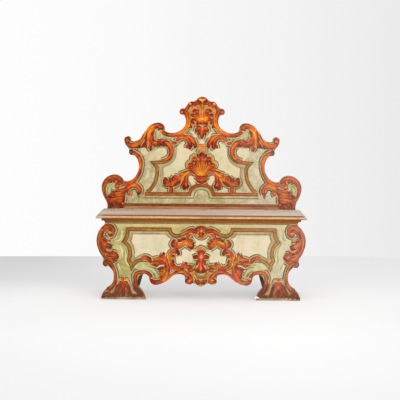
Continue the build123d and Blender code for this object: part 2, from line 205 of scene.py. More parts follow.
def bare_where(tree, shader, colour, place, axis, edge, above):
    """Leaves the wood bare past one plane of the piece, where the brush didn't reach."""
    split = add(tree, "ShaderNodeSeparateXYZ", {"Vector": place})
    beyond = "GREATER_THAN" if above else "LESS_THAN"
    past = add(tree, "ShaderNodeMath", {0: split.outputs[axis], 1: edge}, operation=beyond)
    # The end boards' grain runs from front to rear; the front and back show planks of 227 mm.
    grain, plank = {"X": (along_y, None), "Y": (along_x, 0.227), "Z": (along_x, None)}[axis]
    wood = pine_colour(tree, place, grain, plank)[0]
    both = add(tree, "ShaderNodeMix", {0: past, 6: colour, 7: wood}, data_type="RGBA")
    fill(tree, shader, {"Base Color": both})


seat_paint, tree, shader, colour, place = tempera(
    "worn_seat_tempera",
    [(0.3, "BFA78F"), (0.43, "DAC3AB"), (0.55, "E3CCBB"), (0.7, "E9DBC9")],
    60,
    (0.1, 1, 1),
    0.55,
)
split = add(tree, "ShaderNodeSeparateXYZ", {"Vector": place})
# The right end has bleached, as the boards have.
bleach = add(
    tree,
    "ShaderNodeMapRange",
    {"Value": split.outputs["X"], "From Min": 0.0, "From Max": 0.6, "To Max": 0.45},
)
colour = add(tree, "ShaderNodeMix", {0: bleach, 6: colour, 7: linear("F0E8E0")}, data_type="RGBA")
# Hints of green show through near the ends, in patches of about 90 mm.
far_out = add(tree, "ShaderNodeMath", {0: split.outputs["X"]}, operation="ABSOLUTE")
near_end = add(tree, "ShaderNodeMapRange", {"Value": far_out, "From Min": 0.46, "From Max": 0.6})
patches = add(tree, "ShaderNodeTexNoise", {"Vector": place, "Scale": 1 / 0.09, "Detail": 2.0})
patchy = add(
    tree, "ShaderNodeMapRange", {"Value": patches, "From Min": 0.45, "From Max": 0.6, "To Max": 0.55}
)
greened = add(tree, "ShaderNodeMath", {0: near_end, 1: patchy}, operation="MULTIPLY")
colour = add(tree, "ShaderNodeMix", {0: greened, 6: colour, 7: linear("B9C4A8")}, data_type="RGBA")
# The seat's paint reaches half a millimetre down from its top.
seat_top, seat_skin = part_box("lid_front_plank")[1].z, 0.0005
bare_where(tree, shader, colour, place, "Z", seat_top - seat_skin, False)
finished(seat_paint, "lid_front_plank", "lid_rear_plank", "hinge_rail")


# Hinges: three butt hinges let into the lid and the fixed strip. Iron, with the
# seat's paint brushed over the knuckles, where it has chipped off in spots.
# The knuckles' paint is a darker copy of the seat's, painted shade, since the
# round knuckles catch more light than the flat seat.
shaded_hinge_paint, tree, shader, colour, place = tempera(
    "painted_hinge_iron",
    [(0.3, "98836F"), (0.43, "AD9883"), (0.55, "B6A18E"), (0.7, "BFAF9E")],
    30,
    (0.4, 1, 1),
)
# Chips are about 9 mm across.
chips = add(tree, "ShaderNodeTexNoise", {"Vector": place, "Scale": 1 / 0.009, "Detail": 2.0})
chipped = add(tree, "ShaderNodeMapRange", {"Value": chips, "From Min": 0.6, "From Max": 0.64})
split = add(tree, "ShaderNodeSeparateXYZ", {"Vector": place})
painted_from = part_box("lid_rear_plank")[1].z - seat_skin
under = add(tree, "ShaderNodeMath", {0: split.outputs["Z"], 1: painted_from}, operation="LESS_THAN")
bare_iron = add(tree, "ShaderNodeMath", {0: chipped, 1: under}, operation="MAXIMUM")
worn_off = add(tree, "ShaderNodeMix", {0: bare_iron, 6: colour, 7: linear("3E332B")}, data_type="RGBA")
fill(tree, shader, {"Base Color": worn_off})
for hinge in ("left_hinge", "centre_hinge", "right_hinge"):
    finished(shaded_hinge_paint, hinge + "_lid_leaf", hinge + "_rail_leaf", hinge + "_pin")


# Moulded edge of the seat: mitred strips glued round the lid and the fixed
# strip. Painted peach on the face, with a red-brown line on the upper arris
# and a dark quirk below.
def lined_by_height(name, node, bands, ends=()):
    """Tempera in level stripes, each from its share of a strip's height; another colour towards the given
    ends.
    """
    chalky = [(0.3, "D9CFC2"), (0.5, "FFFFFF"), (0.7, "EFE6DA")]
    material, tree, shader, colour, place = tempera(name, chalky, 60, (0.25, 1, 1))
    split = add(tree, "ShaderNodeSeparateXYZ", {"Vector": place})
    # The brush wanders by a millimetre or so every 80 mm.
    sway = 0.003
    wander = add(tree, "ShaderNodeTexNoise", {"Vector": place, "Scale": 1 / 0.08, "Detail": 2.0})
    drift = add(
        tree, "ShaderNodeMath", {0: wander, 1: sway, 2: split.outputs["Z"]}, operation="MULTIPLY_ADD"
    )
    bottom, top = (corner.z + sway / 2 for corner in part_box(node))
    share = add(tree, "ShaderNodeMapRange", {"Value": drift, "From Min": bottom, "From Max": top})
    stripe = add(tree, "ShaderNodeValToRGB", {"Fac": share}, bands)
    both = add(
        tree, "ShaderNodeMix", {0: 1.0, 6: stripe, 7: colour}, data_type="RGBA", blend_type="MULTIPLY"
    )
    for start, end, end_colour, most in ends:
        near = add(
            tree,
            "ShaderNodeMapRange",
            {"Value": split.outputs["X"], "From Min": start, "From Max": end, "To Max": most},
        )
        both = add(tree, "ShaderNodeMix", {0: near, 6: both, 7: linear(end_colour)}, data_type="RGBA")
    fill(tree, shader, {"Base Color": both})
    return material


edge_paint = lined_by_height(
    "peach_edge_tempera",
    "lid_front_moulding",
    [
        (0.0, "6E4C22"), (0.1, "7E5C30"), (0.22, "C09A60"), (0.32, "E2BA86"),
        (0.56, "E4BC8A"), (0.7, "B87C58"), (0.82, "98583A"), (1.0, "905236"),
    ],
    [(-0.645, -0.68, "B4A692", 0.7), (0.66, 0.695, "B4AC9A", 0.6)],
)
finished(edge_paint, "lid_front_moulding")
# The ends are rubbed pale, down to the gesso on the arris.
end_edge_paint = lined_by_height(
    "rubbed_end_edge_tempera",
    "lid_front_moulding",
    [
        (0.0, "6A5A48"), (0.12, "8C7C66"), (0.3, "CDBEA6"),
        (0.6, "DCCFBA"), (0.8, "C9B9A2"), (1.0, "DED2C0"),
    ],
)
for side in ("left", "right"):
    finished(end_edge_paint, f"lid_{side}_moulding", f"hinge_rail_{side}_moulding")


# Cornice: a mitred moulding nailed round the chest's rim. Painted in level
# stripes of dark olive, chestnut and orange-brown; the dark olive at the top
# is painted shadow from the lid above.
cornice_paint = lined_by_height(
    "chestnut_cornice_tempera",
    "cornice_front",
    [
        # From bottom to top; the darker stops at the top are painted shadow under the lid.
        (0.0, "AA8850"), (0.1, "A6743A"), (0.28, "A0581F"), (0.42, "AC6026"), (0.54, "B26426"),
        (0.66, "AC6621"), (0.78, "966722"), (0.9, "8C6A28"), (1.0, "7E5E24"),
    ],
    # Darker towards the left end.
    [(-0.48, -0.66, "4A2412", 0.5)],
)
finished(cornice_paint, "cornice_front", "cornice_left", "cornice_right")


# Front, back and end boards: the ground. Each board is gessoed and painted a
# cloudy yellow-green marble on its show face; the sawn edges are red-brown
# and the hidden face is bare.
above_all = 9.0  # metres, far over the bench


def show_face(name, ground, axis, face, back, rim=above_all, painted_light_from=above_all):
    """Marbled ground on a board's face, painted sawn edges, bare back and rim; painted light from one height
    up.
    """
    material, tree, shader, colour, place = tempera(name, ground, 75, (1, 1, 1), 0.75, "97905A")
    split = add(tree, "ShaderNodeSeparateXYZ", {"Vector": place})
    # The right end has stood in the sun and bleached.
    bleach = add(
        tree,
        "ShaderNodeMapRange",
        {"Value": split.outputs["X"], "From Min": 0.1, "From Max": 0.6, "To Max": 0.44},
    )
    colour = add(tree, "ShaderNodeMix", {0: bleach, 6: colour, 7: linear("DAD4CC")}, data_type="RGBA")
    # Under the cornice the ground is painted lighter: painted light that evens out the cornice's shadow
    # there.
    painted_light_full = painted_light_from + 0.03
    painted_light = add(
        tree,
        "ShaderNodeMapRange",
        {"Value": split.outputs["Z"], "From Min": painted_light_from, "From Max": painted_light_full, "To Max": 0.42},
    )
    colour = add(tree, "ShaderNodeMix", {0: painted_light, 6: colour, 7: linear("E8D29A")}, data_type="RGBA")
    # Paint and bare wood each go 0.6 mm round the arris.
    skin = 0.0006
    faces_minus = face < back
    inward = skin if faces_minus else -skin
    past = "GREATER_THAN" if faces_minus else "LESS_THAN"
    behind = add(tree, "ShaderNodeMath", {0: split.outputs[axis], 1: face + inward}, operation=past)
    # The edges' paint is rubbed in patches of about 30 mm.
    rub = add(tree, "ShaderNodeTexNoise", {"Vector": place, "Scale": 1 / 0.03, "Detail": 4.0})
    red_brown = [(0.35, "6E2A14"), (0.52, "93401C"), (0.64, "A8572A"), (0.75, "B99468")]
    sawn_edge = add(tree, "ShaderNodeValToRGB", {"Fac": rub}, red_brown)
    both = add(tree, "ShaderNodeMix", {0: behind, 6: colour, 7: sawn_edge}, data_type="RGBA")
    # No paint where the lid comes down: wood polished brown by it.
    on_rim = add(tree, "ShaderNodeMath", {0: split.outputs["Z"], 1: rim - skin}, operation="GREATER_THAN")
    brown = [(0.35, "4E3824"), (0.55, "6B5036"), (0.75, "836648")]
    polished = add(tree, "ShaderNodeValToRGB", {"Fac": rub}, brown)
    both = add(tree, "ShaderNodeMix", {0: on_rim, 6: both, 7: polished}, data_type="RGBA")
    bare_where(tree, shader, both, place, axis, back - inward, faces_minus)
    return material


green_marble = [(0.3, "A89C56"), (0.43, "BAAB68"), (0.55, "C5B474"), (0.68, "D0C088")]
pale_marble = [(0.3, "AAA068"), (0.43, "C4B684"), (0.55, "D1C298"), (0.68, "DECEAC")]
front_low, front_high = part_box("front_board")
back_low, back_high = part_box("backrest_board")
front_face, back_face = front_low.y, back_low.y
# Height on the front where the painted light under the cornice begins.
under_cornice = 0.475
front_paint = show_face(
    "front_marbled_tempera", green_marble, "Y", front_face, front_high.y, front_high.z, under_cornice
)
finished(front_paint, "front_board")
finished(show_face("back_marbled_tempera", pale_marble, "Y", back_face, back_high.y), "backrest_board")
end_faces = {}
for side, outer, inner in (("left", 0, 1), ("right", 1, 0)):
    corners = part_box(side + "_end_board")
    end_faces[side] = corners[outer].x
    end_ground = show_face(
        side + "_end_marbled_tempera", green_marble, "X", corners[outer].x, corners[inner].x, corners[1].z
    )
    finished(end_ground, side + "_end_board")


# Panels: the quiet fields inside the painted frames. A second coat of pale
# tempera, a quarter of a millimetre thick, rubbed to show the gesso.
def through(points, closed=False, steps=5):
    """Points along a smooth line through the given ones."""
    last = len(points) - 1
    line = []
    for i in range(len(points) if closed else last):
        near = [i - 1, i, i + 1, i + 2]
        near = [k % (last + 1) if closed else min(max(k, 0), last) for k in near]
        for step in range(steps):
            t = step / steps
            spot = []
            for a, b, c, d in zip(*(points[k] for k in near)):
                straight = 2 * b + (c - a) * t
                bend = (2 * a - 5 * b + 4 * c - d) * t * t
                twist = (3 * b - a - 3 * c + d) * t**3
                spot.append(0.5 * (straight + bend + twist))
            line.append(spot)
    return line if closed else line + [list(points[-1])]


# Raised paint is let into the board by 0.4 mm, so that no light shows under it.
let_in = 0.0004


def field(name, face, coat, paint, outlines):
    """Thin coats of paint with rounded outlines, given in millimetres along and up the board."""
    shape = bmesh.new()
    for outline in outlines:
        ring = [(x / 1000, z / 1000) for x, z in through(outline, closed=True)]
        front = [shape.verts.new((x, face - coat / 1000, z)) for x, z in ring]
        rear = [shape.verts.new((x, face + let_in, z)) for x, z in ring]
        shape.faces.new(front)
        shape.faces.new(rear[::-1])
        for i in range(len(ring)):
            j = (i + 1) % len(ring)
            shape.faces.new((front[j], front[i], rear[i], rear[j]))
    bmesh.ops.recalc_face_normals(shape, faces=shape.faces)
    bmesh.ops.triangulate(shape, faces=shape.faces)
    mesh = bpy.data.meshes.new(name)
    shape.to_mesh(mesh)
    shape.free()
    mesh.materials.append(paint)
    piece = bpy.data.objects.new(name, mesh)
    bpy.context.scene.collection.objects.link(piece)
    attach(piece, "chest")


def mirrored(outlines):
    """The outlines of the left half and their likeness on the right."""
    return outlines + [[(-x, z) for x, z in line] for line in outlines]


front_cream = [(0.3, "C6BC94"), (0.45, "D6C9A6"), (0.6, "DECDB0"), (0.72, "DDC5A9")]
cream = tempera("cream_panel_tempera", front_cream, 90, grime_share=0.3)[0]
panel_coat = 0.25
field("front_cream_panels", front_face, panel_coat, cream, mirrored([
    [(-456, 441), (-350, 441), (-236, 440), (-222, 427), (-196, 417), (-180, 397), (-186, 363),
        (-185, 330), (-217, 310), (-249, 310), (-281, 300), (-306, 285), (-325, 282), (-345, 300),
        (-375, 307), (-404, 300), (-424, 288), (-441, 281), (-449, 318), (-454, 348), (-466, 383),
        (-458, 417)],
    [(-150, 345), (-120, 362), (-90, 350), (-60, 340), (-40, 320), (-50, 300), (-60, 262), (-75, 240),
        (-100, 245), (-125, 235), (-150, 225), (-175, 240), (-180, 262), (-165, 285), (-150, 292),
        (-140, 300), (-148, 322)],
]) + [
    [(-62, 436), (-48, 438), (-25, 418), (0, 409), (25, 418), (48, 438), (62, 436), (42, 408), (32, 392),
        (42, 372), (30, 366), (0, 377), (-30, 366), (-42, 372), (-32, 392), (-42, 408)],
])
yellowed_cream = [(0.3, "C6BC92"), (0.45, "D5C9A1"), (0.6, "DCCDA9"), (0.72, "DAC5A3")]
back_cream = tempera("back_cream_tempera", yellowed_cream, 90, grime_share=0.3)[0]
field("back_cream_panels", back_face, panel_coat, back_cream, mirrored([
    [(-272, 800), (-270, 862), (-240, 878), (-206, 900), (-184, 940), (-178, 1000), (-160, 1024),
        (-140, 1036), (-120, 1060), (-100, 1050), (-80, 1000), (-60, 984), (-70, 958), (-60, 935),
        (-80, 905), (-90, 872), (-90, 840), (-140, 822), (-172, 800), (-200, 790), (-222, 800),
        (-246, 800)],
    [(-335, 965), (-318, 990), (-290, 1003), (-258, 998), (-240, 978), (-238, 952), (-255, 932),
        (-285, 926), (-318, 938)],
]))


# Painted strokes: scrolls, acanthus, shells, frames and lines all follow a
# drawn line, as the brush did. One tree sweeps a low crowned ridge along each
# line, as wide as the line says, and trims it at the board's edge.
def stroke_tree():
    tree = bpy.data.node_groups.new("painted_stroke", "GeometryNodeTree")
    for name, kind in (
        ("Lines", "NodeSocketGeometry"),
        ("Board", "NodeSocketObject"),
        ("Paint", "NodeSocketMaterial"),
        ("Coat", "NodeSocketFloat"),
        ("Crown", "NodeSocketFloat"),
        ("Spread", "NodeSocketFloat"),
        ("Spacing", "NodeSocketFloat"),
        ("Facets", "NodeSocketInt"),
        ("Flowing", "NodeSocketBool"),
        ("Turn", "NodeSocketVector"),
        ("Place", "NodeSocketVector"),
        ("Inward", "NodeSocketVector"),
    ):
        tree.interface.new_socket(name, in_out="INPUT", socket_type=kind)
    tree.interface.new_socket("Strokes", in_out="OUTPUT", socket_type="NodeSocketGeometry")
    given = add(tree, "NodeGroupInput").outputs
    drawn = add(tree, "GeometryNodeMeshToCurve", {"Mesh": given["Lines"]})
    supple = add(tree, "GeometryNodeCurveSplineType", {"Curve": drawn}, spline_type="CATMULL_ROM")
    even = add(
        tree, "GeometryNodeResampleCurve", {"Curve": supple, "Length": given["Spacing"]}, mode="LENGTH"
    )
    line = add(
        tree,
        "GeometryNodeSwitch",
        {"Switch": given["Flowing"], "False": drawn, "True": even},
        input_type="GEOMETRY",
    )
    level = add(tree, "GeometryNodeSetCurveNormal", {"Curve": line}, mode="Z_UP")
    run = add(tree, "GeometryNodeSplineParameter").outputs["Factor"]
    on_points = {"data_type": "FLOAT", "domain": "POINT"}
    marked = add(
        tree,
        "GeometryNodeStoreNamedAttribute",
        {"Geometry": level, "Name": "along", "Value": run},
        **on_points,
    )
    ring = add(tree, "GeometryNodeCurvePrimitiveCircle", {"Resolution": given["Facets"], "Radius": 1.0})
    spot = add(tree, "ShaderNodeSeparateXYZ", {0: add(tree, "GeometryNodeInputPosition")}).outputs
    across = add(
        tree,
        "GeometryNodeStoreNamedAttribute",
        {"Geometry": ring.outputs[0], "Name": "across", "Value": spot["X"]},
        **on_points,
    )
    # The sweep lays the circle's lower half towards the viewer.
    upper = add(tree, "ShaderNodeMath", {0: spot["Y"], 1: 0.01}, operation="LESS_THAN")
    risen = add(
        tree,
        "GeometryNodeStoreNamedAttribute",
        {"Geometry": across, "Name": "rise", "Value": upper},
        **on_points,
    )
    top = add(tree, "ShaderNodeMath", {0: spot["Y"], 1: 0.0}, operation="MINIMUM")
    crown = add(tree, "ShaderNodeMath", {0: top, 1: given["Crown"]}, operation="MULTIPLY")
    low = add(tree, "ShaderNodeCombineXYZ", {"X": spot["X"], "Y": crown})
    ridge = add(tree, "GeometryNodeSetPosition", {"Geometry": risen, "Position": low})
    half = add(tree, "GeometryNodeInputNamedAttribute", {"Name": "half_width"}, data_type="FLOAT")
    wide = add(tree, "ShaderNodeMath", {0: half.outputs[0], 1: given["Spread"]}, operation="ADD")
    swept = add(
        tree,
        "GeometryNodeCurveToMesh",
        {"Curve": marked, "Profile Curve": ridge, "Scale": wide, "Fill Caps": True},
    )
    rise = add(tree, "GeometryNodeInputNamedAttribute", {"Name": "rise"}, data_type="FLOAT")
    coat = add(tree, "ShaderNodeMath", {0: rise.outputs[0], 1: given["Coat"]}, operation="MULTIPLY")
    up = add(tree, "ShaderNodeCombineXYZ", {"Z": coat})
    lifted = add(tree, "GeometryNodeSetPosition", {"Geometry": swept, "Offset": up})
    hung = add(
        tree,
        "GeometryNodeTransform",
        {"Geometry": lifted, "Rotation": given["Turn"], "Translation": given["Place"]},
    )
    # A ray from 50 mm in front finds the points that hang over the board's edge.
    board = add(tree, "GeometryNodeObjectInfo", {"Object": given["Board"]}).outputs["Geometry"]
    here = add(tree, "GeometryNodeInputPosition")
    start = add(
        tree,
        "ShaderNodeVectorMath",
        {0: given["Inward"], 1: (-0.05, -0.05, -0.05), 2: here},
        operation="MULTIPLY_ADD",
    )
    ray = add(
        tree,
        "GeometryNodeRaycast",
        {
            "Target Geometry": board,
            "Source Position": start,
            "Ray Direction": given["Inward"],
            "Ray Length": 0.1,
        },
    )
    off = add(tree, "FunctionNodeBooleanMath", {0: ray.outputs["Is Hit"]}, operation="NOT")
    near = add(tree, "GeometryNodeProximity", {"Geometry": board}, target_element="FACES").outputs["Position"]
    apart = add(tree, "ShaderNodeVectorMath", {0: here, 1: near}, operation="SUBTRACT")
    depth = add(tree, "ShaderNodeVectorMath", {0: apart, 1: given["Inward"]}, operation="PROJECT")
    trim = add(tree, "ShaderNodeVectorMath", {0: near, 1: depth}, operation="ADD")
    trimmed = add(
        tree, "GeometryNodeSetPosition", {"Geometry": hung, "Selection": off, "Position": trim}
    )
    real = add(tree, "GeometryNodeRealizeInstances", {"Geometry": trimmed})
    smooth = add(tree, "GeometryNodeSetShadeSmooth", {"Geometry": real})
    painted = add(tree, "GeometryNodeSetMaterial", {"Geometry": smooth, "Material": given["Paint"]})
    add(tree, "NodeGroupOutput", {0: painted})
    return tree


strokes_swept = stroke_tree()
# A board's own axes: how a flat drawing turns to face out of it, its place, and the way in.
upright = math.pi / 2
facing = {
    "front_board": ((upright, 0, 0), (0, front_face + let_in, 0), (0, 1, 0)),
    "backrest_board": ((upright, 0, 0), (0, back_face + let_in, 0), (0, 1, 0)),
    "left_end_board": ((upright, 0, -upright), (end_faces["left"] + let_in, 0, 0), (1, 0, 0)),
    "right_end_board": ((upright, 0, upright), (end_faces["right"] - let_in, 0, 0), (-1, 0, 0)),
}


def brushed(
    name,
    board,
    strokes,
    paint,
    coat,
    crown=0.0,
    spread=0.0,
    spacing=5,
    facets=8,
    flowing=True,
    raised=True,
    slot="painted_boards",
):
    """Sweeps strokes, each a lift and then points of (along, up, half width, tone), in millimetres.

    A point without a tone keeps the tone of the one before it, and the first has a middling tone.
    """
    # Each stroke lies a hair over the one before and climbs along its length,
    # so that no two faces share a plane.
    hair, climb, middling = 0.0015, 0.0003, 0.5
    corners, edges, half_widths, tones = [], [], [], []
    for order, (lift, *points) in enumerate(strokes):
        height = (lift if raised else 0.0) + order * hair
        tone = middling
        for i, (x, z, half_width, *own) in enumerate(points):
            if i:
                edges.append((len(corners) - 1, len(corners)))
            corners.append((x / 1000, z / 1000, (height + i * climb) / 1000))
            half_widths.append(half_width / 1000)
            tone = own[0] if own else tone
            tones.append(tone)
    lines = bpy.data.meshes.new(name + "_lines")
    lines.from_pydata(corners, edges, [])
    for label, values in (("half_width", half_widths), ("tone", tones)):
        lines.attributes.new(label, "FLOAT", "POINT").data.foreach_set("value", values)
    piece = bpy.data.objects.new(name, lines)
    bpy.context.scene.collection.objects.link(piece)
    sweep = piece.modifiers.new("sweep", "NODES")
    sweep.node_group = strokes_swept
    turn, place, inward = facing[board]
    wanted = {
        "Board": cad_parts[board],
        "Paint": paint,
        "Coat": coat / 1000 + let_in,
        "Crown": crown,
        "Spread": spread / 1000,
        "Spacing": spacing / 1000,
        "Facets": facets,
        "Flowing": flowing,
        "Turn": turn,
        "Place": place,
        "Inward": inward,
    }
    for socket in strokes_swept.interface.items_tree:
        if socket.in_out == "INPUT" and socket.name in wanted:
            sweep[socket.identifier] = wanted[socket.name]
    seen = piece.evaluated_get(bpy.context.evaluated_depsgraph_get())
    mesh = bpy.data.meshes.new_from_object(seen)
    mesh.name = name
    piece.modifiers.remove(sweep)
    piece.data = mesh
    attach(piece, "chest")


def right_side(strokes):
    """The likeness on the right of the left half's strokes."""
    return [(lift, *((-x, *rest) for x, *rest in points)) for lift, *points in strokes]


def both_sides(strokes):
    """The left half's strokes and their likeness on the right."""
    return strokes + right_side(strokes)


def bent(points, half_width, tone=0.5):
    """A ruled band: flowing between its points, with a mitred corner at each point marked True."""
    runs, run = [], []
    for point in points:
        run.append(point[:2])
        if len(point) > 2:
            runs.append(run)
            run = [point[:2]]
    runs.append(run)
    line = []
    for run in runs:
        line += through(run, steps=6)[:-1]
    line.append(list(runs[-1][-1]))
    band = []
    for i, (x, z) in enumerate(line):
        width = half_width
        if 0 < i < len(line) - 1:
            before = Vector((x - line[i - 1][0], z - line[i - 1][1]))
            after = Vector((line[i + 1][0] - x, line[i + 1][1] - z))
            # A mitre is cut off where it would be over 2.4 times the band's width.
            width = half_width / max(math.cos(before.angle(after) / 2), 0.42)
        band.append((x, z, width, tone))
    return (0.0, *band)


def boss(x, z, radius, tone, lift):
    """A round eye: a short stroke as wide along its length as a disc."""
    disc = [lift]
    for side in (-1, -0.9, -0.6, -0.2, 0.2, 0.6, 0.9, 1):
        half_width = max(radius * math.sqrt(1 - side * side), 0.6)
        disc.append((x + radius * side, z, half_width, tone))
    return disc


def eye(x, z, radius, ring, heart, lift):
    """A scroll's eye: a dark round boss with a lighter heart."""
    return [
        boss(x, z, radius, ring, lift),
        boss(x, z - radius * 0.1, radius * 0.6, heart, lift + radius * 0.08),
    ]


def fan(x, z, start, stop, lengths, width, tone, lift, tip):
    """Lobes that spread from one point, as in a shell or a palmette; angles in degrees."""
    lobes = []
    for k, length in enumerate(lengths):
        share = k / (len(lengths) - 1)
        turn = math.radians(start + (stop - start) * k / (len(lengths) - 1))
        over = 0.4 * (1 - abs(2 * share - 1))
        lobe = [lift + over]
        for far, wide in ((0, 0.25), (0.35, 0.6), (0.7, 1), (0.92, 0.8), (1, 0.3)):
            along, up = length * far * math.cos(turn), length * far * math.sin(turn)
            own = tone + (tip - tone) * far**2 + (0.05 if k % 2 else -0.05)
            lobe.append((x + along, z + up, width * wide, own))
        lobes.append(lobe)
    return lobes


def rim_of(x, z, radius, toward, tone, lift):
    """A light edge round one side of a lobe's tip; toward is the angle it faces, in degrees."""
    edge = [lift]
    for turn, half_width in ((-85, 1.5), (-45, 3.2), (0, 3.8), (45, 3.2), (85, 1.5)):
        angle = math.radians(toward + turn)
        edge.append((x + radius * math.cos(angle), z + radius * math.sin(angle), half_width, tone))
    return edge


# Leaf paint: vermilion, orange and gold laid wet in one stroke, dark at the
# rim and the tips and bright down the middle, with bristle streaks. Each patch
# leans to brown or to crimson, and the colour has faded towards the right end.
def leaf_paint(name, steps, warm, crimson, rim, rim_from=0.78, bleached=0.21, browned=0.24):
    """Wet-blended tempera: a warm and a crimson row of colours, from dark to light in the same steps."""
    material, tree, shader = finish_of(name, **{"IOR": 1.45, "Specular IOR Level": 0.08})
    tone, along, across = (
        add(tree, "ShaderNodeAttribute", attribute_name=label).outputs["Fac"]
        for label in ("tone", "along", "across")
    )
    place = add(tree, "ShaderNodeTexCoord").outputs["Object"]
    # The bright streak wanders from side to side every 60 mm.
    sway = add(tree, "ShaderNodeTexNoise", {"Vector": place, "Scale": 1 / 0.06, "Detail": 1.0})
    swayed = add(tree, "ShaderNodeMath", {0: sway, 1: 1.5, 2: across}, operation="MULTIPLY_ADD")
    shift = add(tree, "ShaderNodeMapRange", {"Value": swayed, "From Min": -0.25, "From Max": 1.75})
    sheen = [(0.05, "000000"), (0.3, "A0A0A0"), (0.55, "FFFFFF"), (0.75, "9A9A9A"), (0.97, "000000")]
    light = add(tree, "ShaderNodeValToRGB", {"Fac": shift}, sheen)
    # Bristle streaks are 3 mm apart and run the length of the stroke.
    comb = add(
        tree,
        "ShaderNodeCombineXYZ",
        {
            "X": add(tree, "ShaderNodeMath", {0: across, 1: 2.2}, operation="MULTIPLY"),
            "Y": add(tree, "ShaderNodeMath", {0: along, 1: 2.0}, operation="MULTIPLY"),
            "Z": add(tree, "ShaderNodeMath", {0: tone, 1: 40.0}, operation="MULTIPLY"),
        },
    )
    bristle = add(tree, "ShaderNodeTexNoise", {"Vector": comb, "Scale": 1.6, "Detail": 3.0})
    # Patches of thicker and thinner colour are about 28 mm across.
    patch = add(tree, "ShaderNodeTexNoise", {"Vector": place, "Scale": 1 / 0.028, "Detail": 3.0})
    level = tone
    for layer, share in ((light, 0.34), (bristle, 0.7), (patch, 0.9)):
        level = add(tree, "ShaderNodeMath", {0: layer, 1: share, 2: level}, operation="MULTIPLY_ADD")
    tip = add(
        tree, "ShaderNodeMapRange", {"Value": along, "From Min": 0.6, "To Min": 0.9, "To Max": 1.0}
    )
    level = add(tree, "ShaderNodeMath", {0: level, 1: tip}, operation="SUBTRACT")
    # Dark veins, drawn halfway to the rims, come and go with the bright streak.
    far = add(tree, "ShaderNodeMath", {0: across}, operation="ABSOLUTE")
    halfway = [(0.34, "000000"), (0.46, "FFFFFF"), (0.58, "000000")]
    vein = add(tree, "ShaderNodeValToRGB", {"Fac": far}, halfway)
    broken = add(
        tree, "ShaderNodeMapRange", {"Value": sway, "From Min": 0.42, "From Max": 0.58, "To Max": 0.5}
    )
    drawn_vein = add(tree, "ShaderNodeMath", {0: vein, 1: broken}, operation="MULTIPLY")
    level = add(tree, "ShaderNodeMath", {0: level, 1: drawn_vein}, operation="SUBTRACT")
    brown = add(tree, "ShaderNodeValToRGB", {"Fac": level}, list(zip(steps, warm)))
    red = add(tree, "ShaderNodeValToRGB", {"Fac": level}, list(zip(steps, crimson)))
    # Brown and crimson change over about every 70 mm.
    lean = add(tree, "ShaderNodeTexNoise", {"Vector": place, "Scale": 1 / 0.07, "Detail": 2.0})
    turn = add(tree, "ShaderNodeMapRange", {"Value": lean, "From Min": 0.39, "From Max": 0.55})
    hue = add(tree, "ShaderNodeMix", {0: turn, 6: brown, 7: red}, data_type="RGBA")
    rim_width = 0.22
    edge = add(
        tree,
        "ShaderNodeMapRange",
        {"Value": far, "From Min": rim_from, "From Max": rim_from + rim_width},
        interpolation_type="SMOOTHSTEP",
    )
    drawn = add(tree, "ShaderNodeMix", {0: edge, 6: hue, 7: linear(rim)}, data_type="RGBA")
    # The left end is smoked browner, the right end bleached.
    split = add(tree, "ShaderNodeSeparateXYZ", {"Vector": place})
    for start, end, most, shade in ((-0.35, -0.62, browned, "86561A"), (0.05, 0.65, bleached, "D9AC92")):
        aged = add(
            tree,
            "ShaderNodeMapRange",
            {"Value": split.outputs["X"], "From Min": start, "From Max": end, "To Max": most},
        )
        drawn = add(tree, "ShaderNodeMix", {0: aged, 6: drawn, 7: linear(shade)}, data_type="RGBA")
    gloss = add(tree, "ShaderNodeMapRange", {"Value": bristle, "To Min": 0.5, "To Max": 0.68})
    bump = add(tree, "ShaderNodeBump", {"Height": bristle, "Strength": 0.3, "Distance": 0.0008})
    fill(tree, shader, {"Base Color": drawn, "Roughness": gloss, "Normal": bump})
    return material


def one_coat(name, dark, middle, light, clouds_mm, grime_share=0.4, streak=(1, 1, 1)):
    """A flat coat of one tempera colour, in clouds from dark to light."""
    return tempera(name, [(0.3, dark), (0.5, middle), (0.7, light)], clouds_mm, streak, grime_share)[0]


# Ochre rounds the frames like gilt mouldings. Olive and greige rule the lines and
# bands, and a dark olive contour, a pale halo and an umber edge set off the leaves.
frame_steps = (0.0, 0.35, 0.6, 0.85, 1.0)
frame_paint = leaf_paint(
    "ochre_frame_tempera",
    frame_steps,
    ("664010", "8C6020", "A67A34", "BC924A", "CCAA66"),
    ("643A12", "8A5824", "A47036", "BA8A4C", "CAA46C"),
    "74491E",
    0.56,
)
olive = one_coat("olive_line_tempera", "767042", "8A8452", "9C9466", 30)
halo = one_coat("pale_halo_tempera", "BE9E70", "CEAE82", "DCC09A", 40, 0.5)
contour = one_coat("dark_olive_tempera", "565226", "6C6834", "827C48", 30)
umber = one_coat("umber_contour_tempera", "643016", "80421E", "98582C", 25)
greige = one_coat("grey_band_tempera", "A68C62", "B89E76", "C8B08A", 40, 0.5)
# How each kind of stroke is laid, in millimetres. Frames and leaves are crowned;
# contours and halos are flat washes, wider than the leaf that lies on them.
frame_relief = {"coat": 0.9, "crown": 0.05, "facets": 16, "flowing": False}
band_wash = {"coat": 0.45, "flowing": False}
ruled_line = {"coat": 0.55, "flowing": False}
contour_wash = {"coat": 0.25, "spread": 16.5, "spacing": 8, "raised": False}
halo_wash = {"coat": 0.6, "spread": 11.0, "spacing": 8, "raised": False}
umber_wash = {"coat": 0.98, "spread": 2.6, "spacing": 7}
leaf_relief = {"coat": 1.05, "crown": 0.05, "spread": 1.0, "facets": 16}
over_relief = {**leaf_relief, "coat": 1.15}


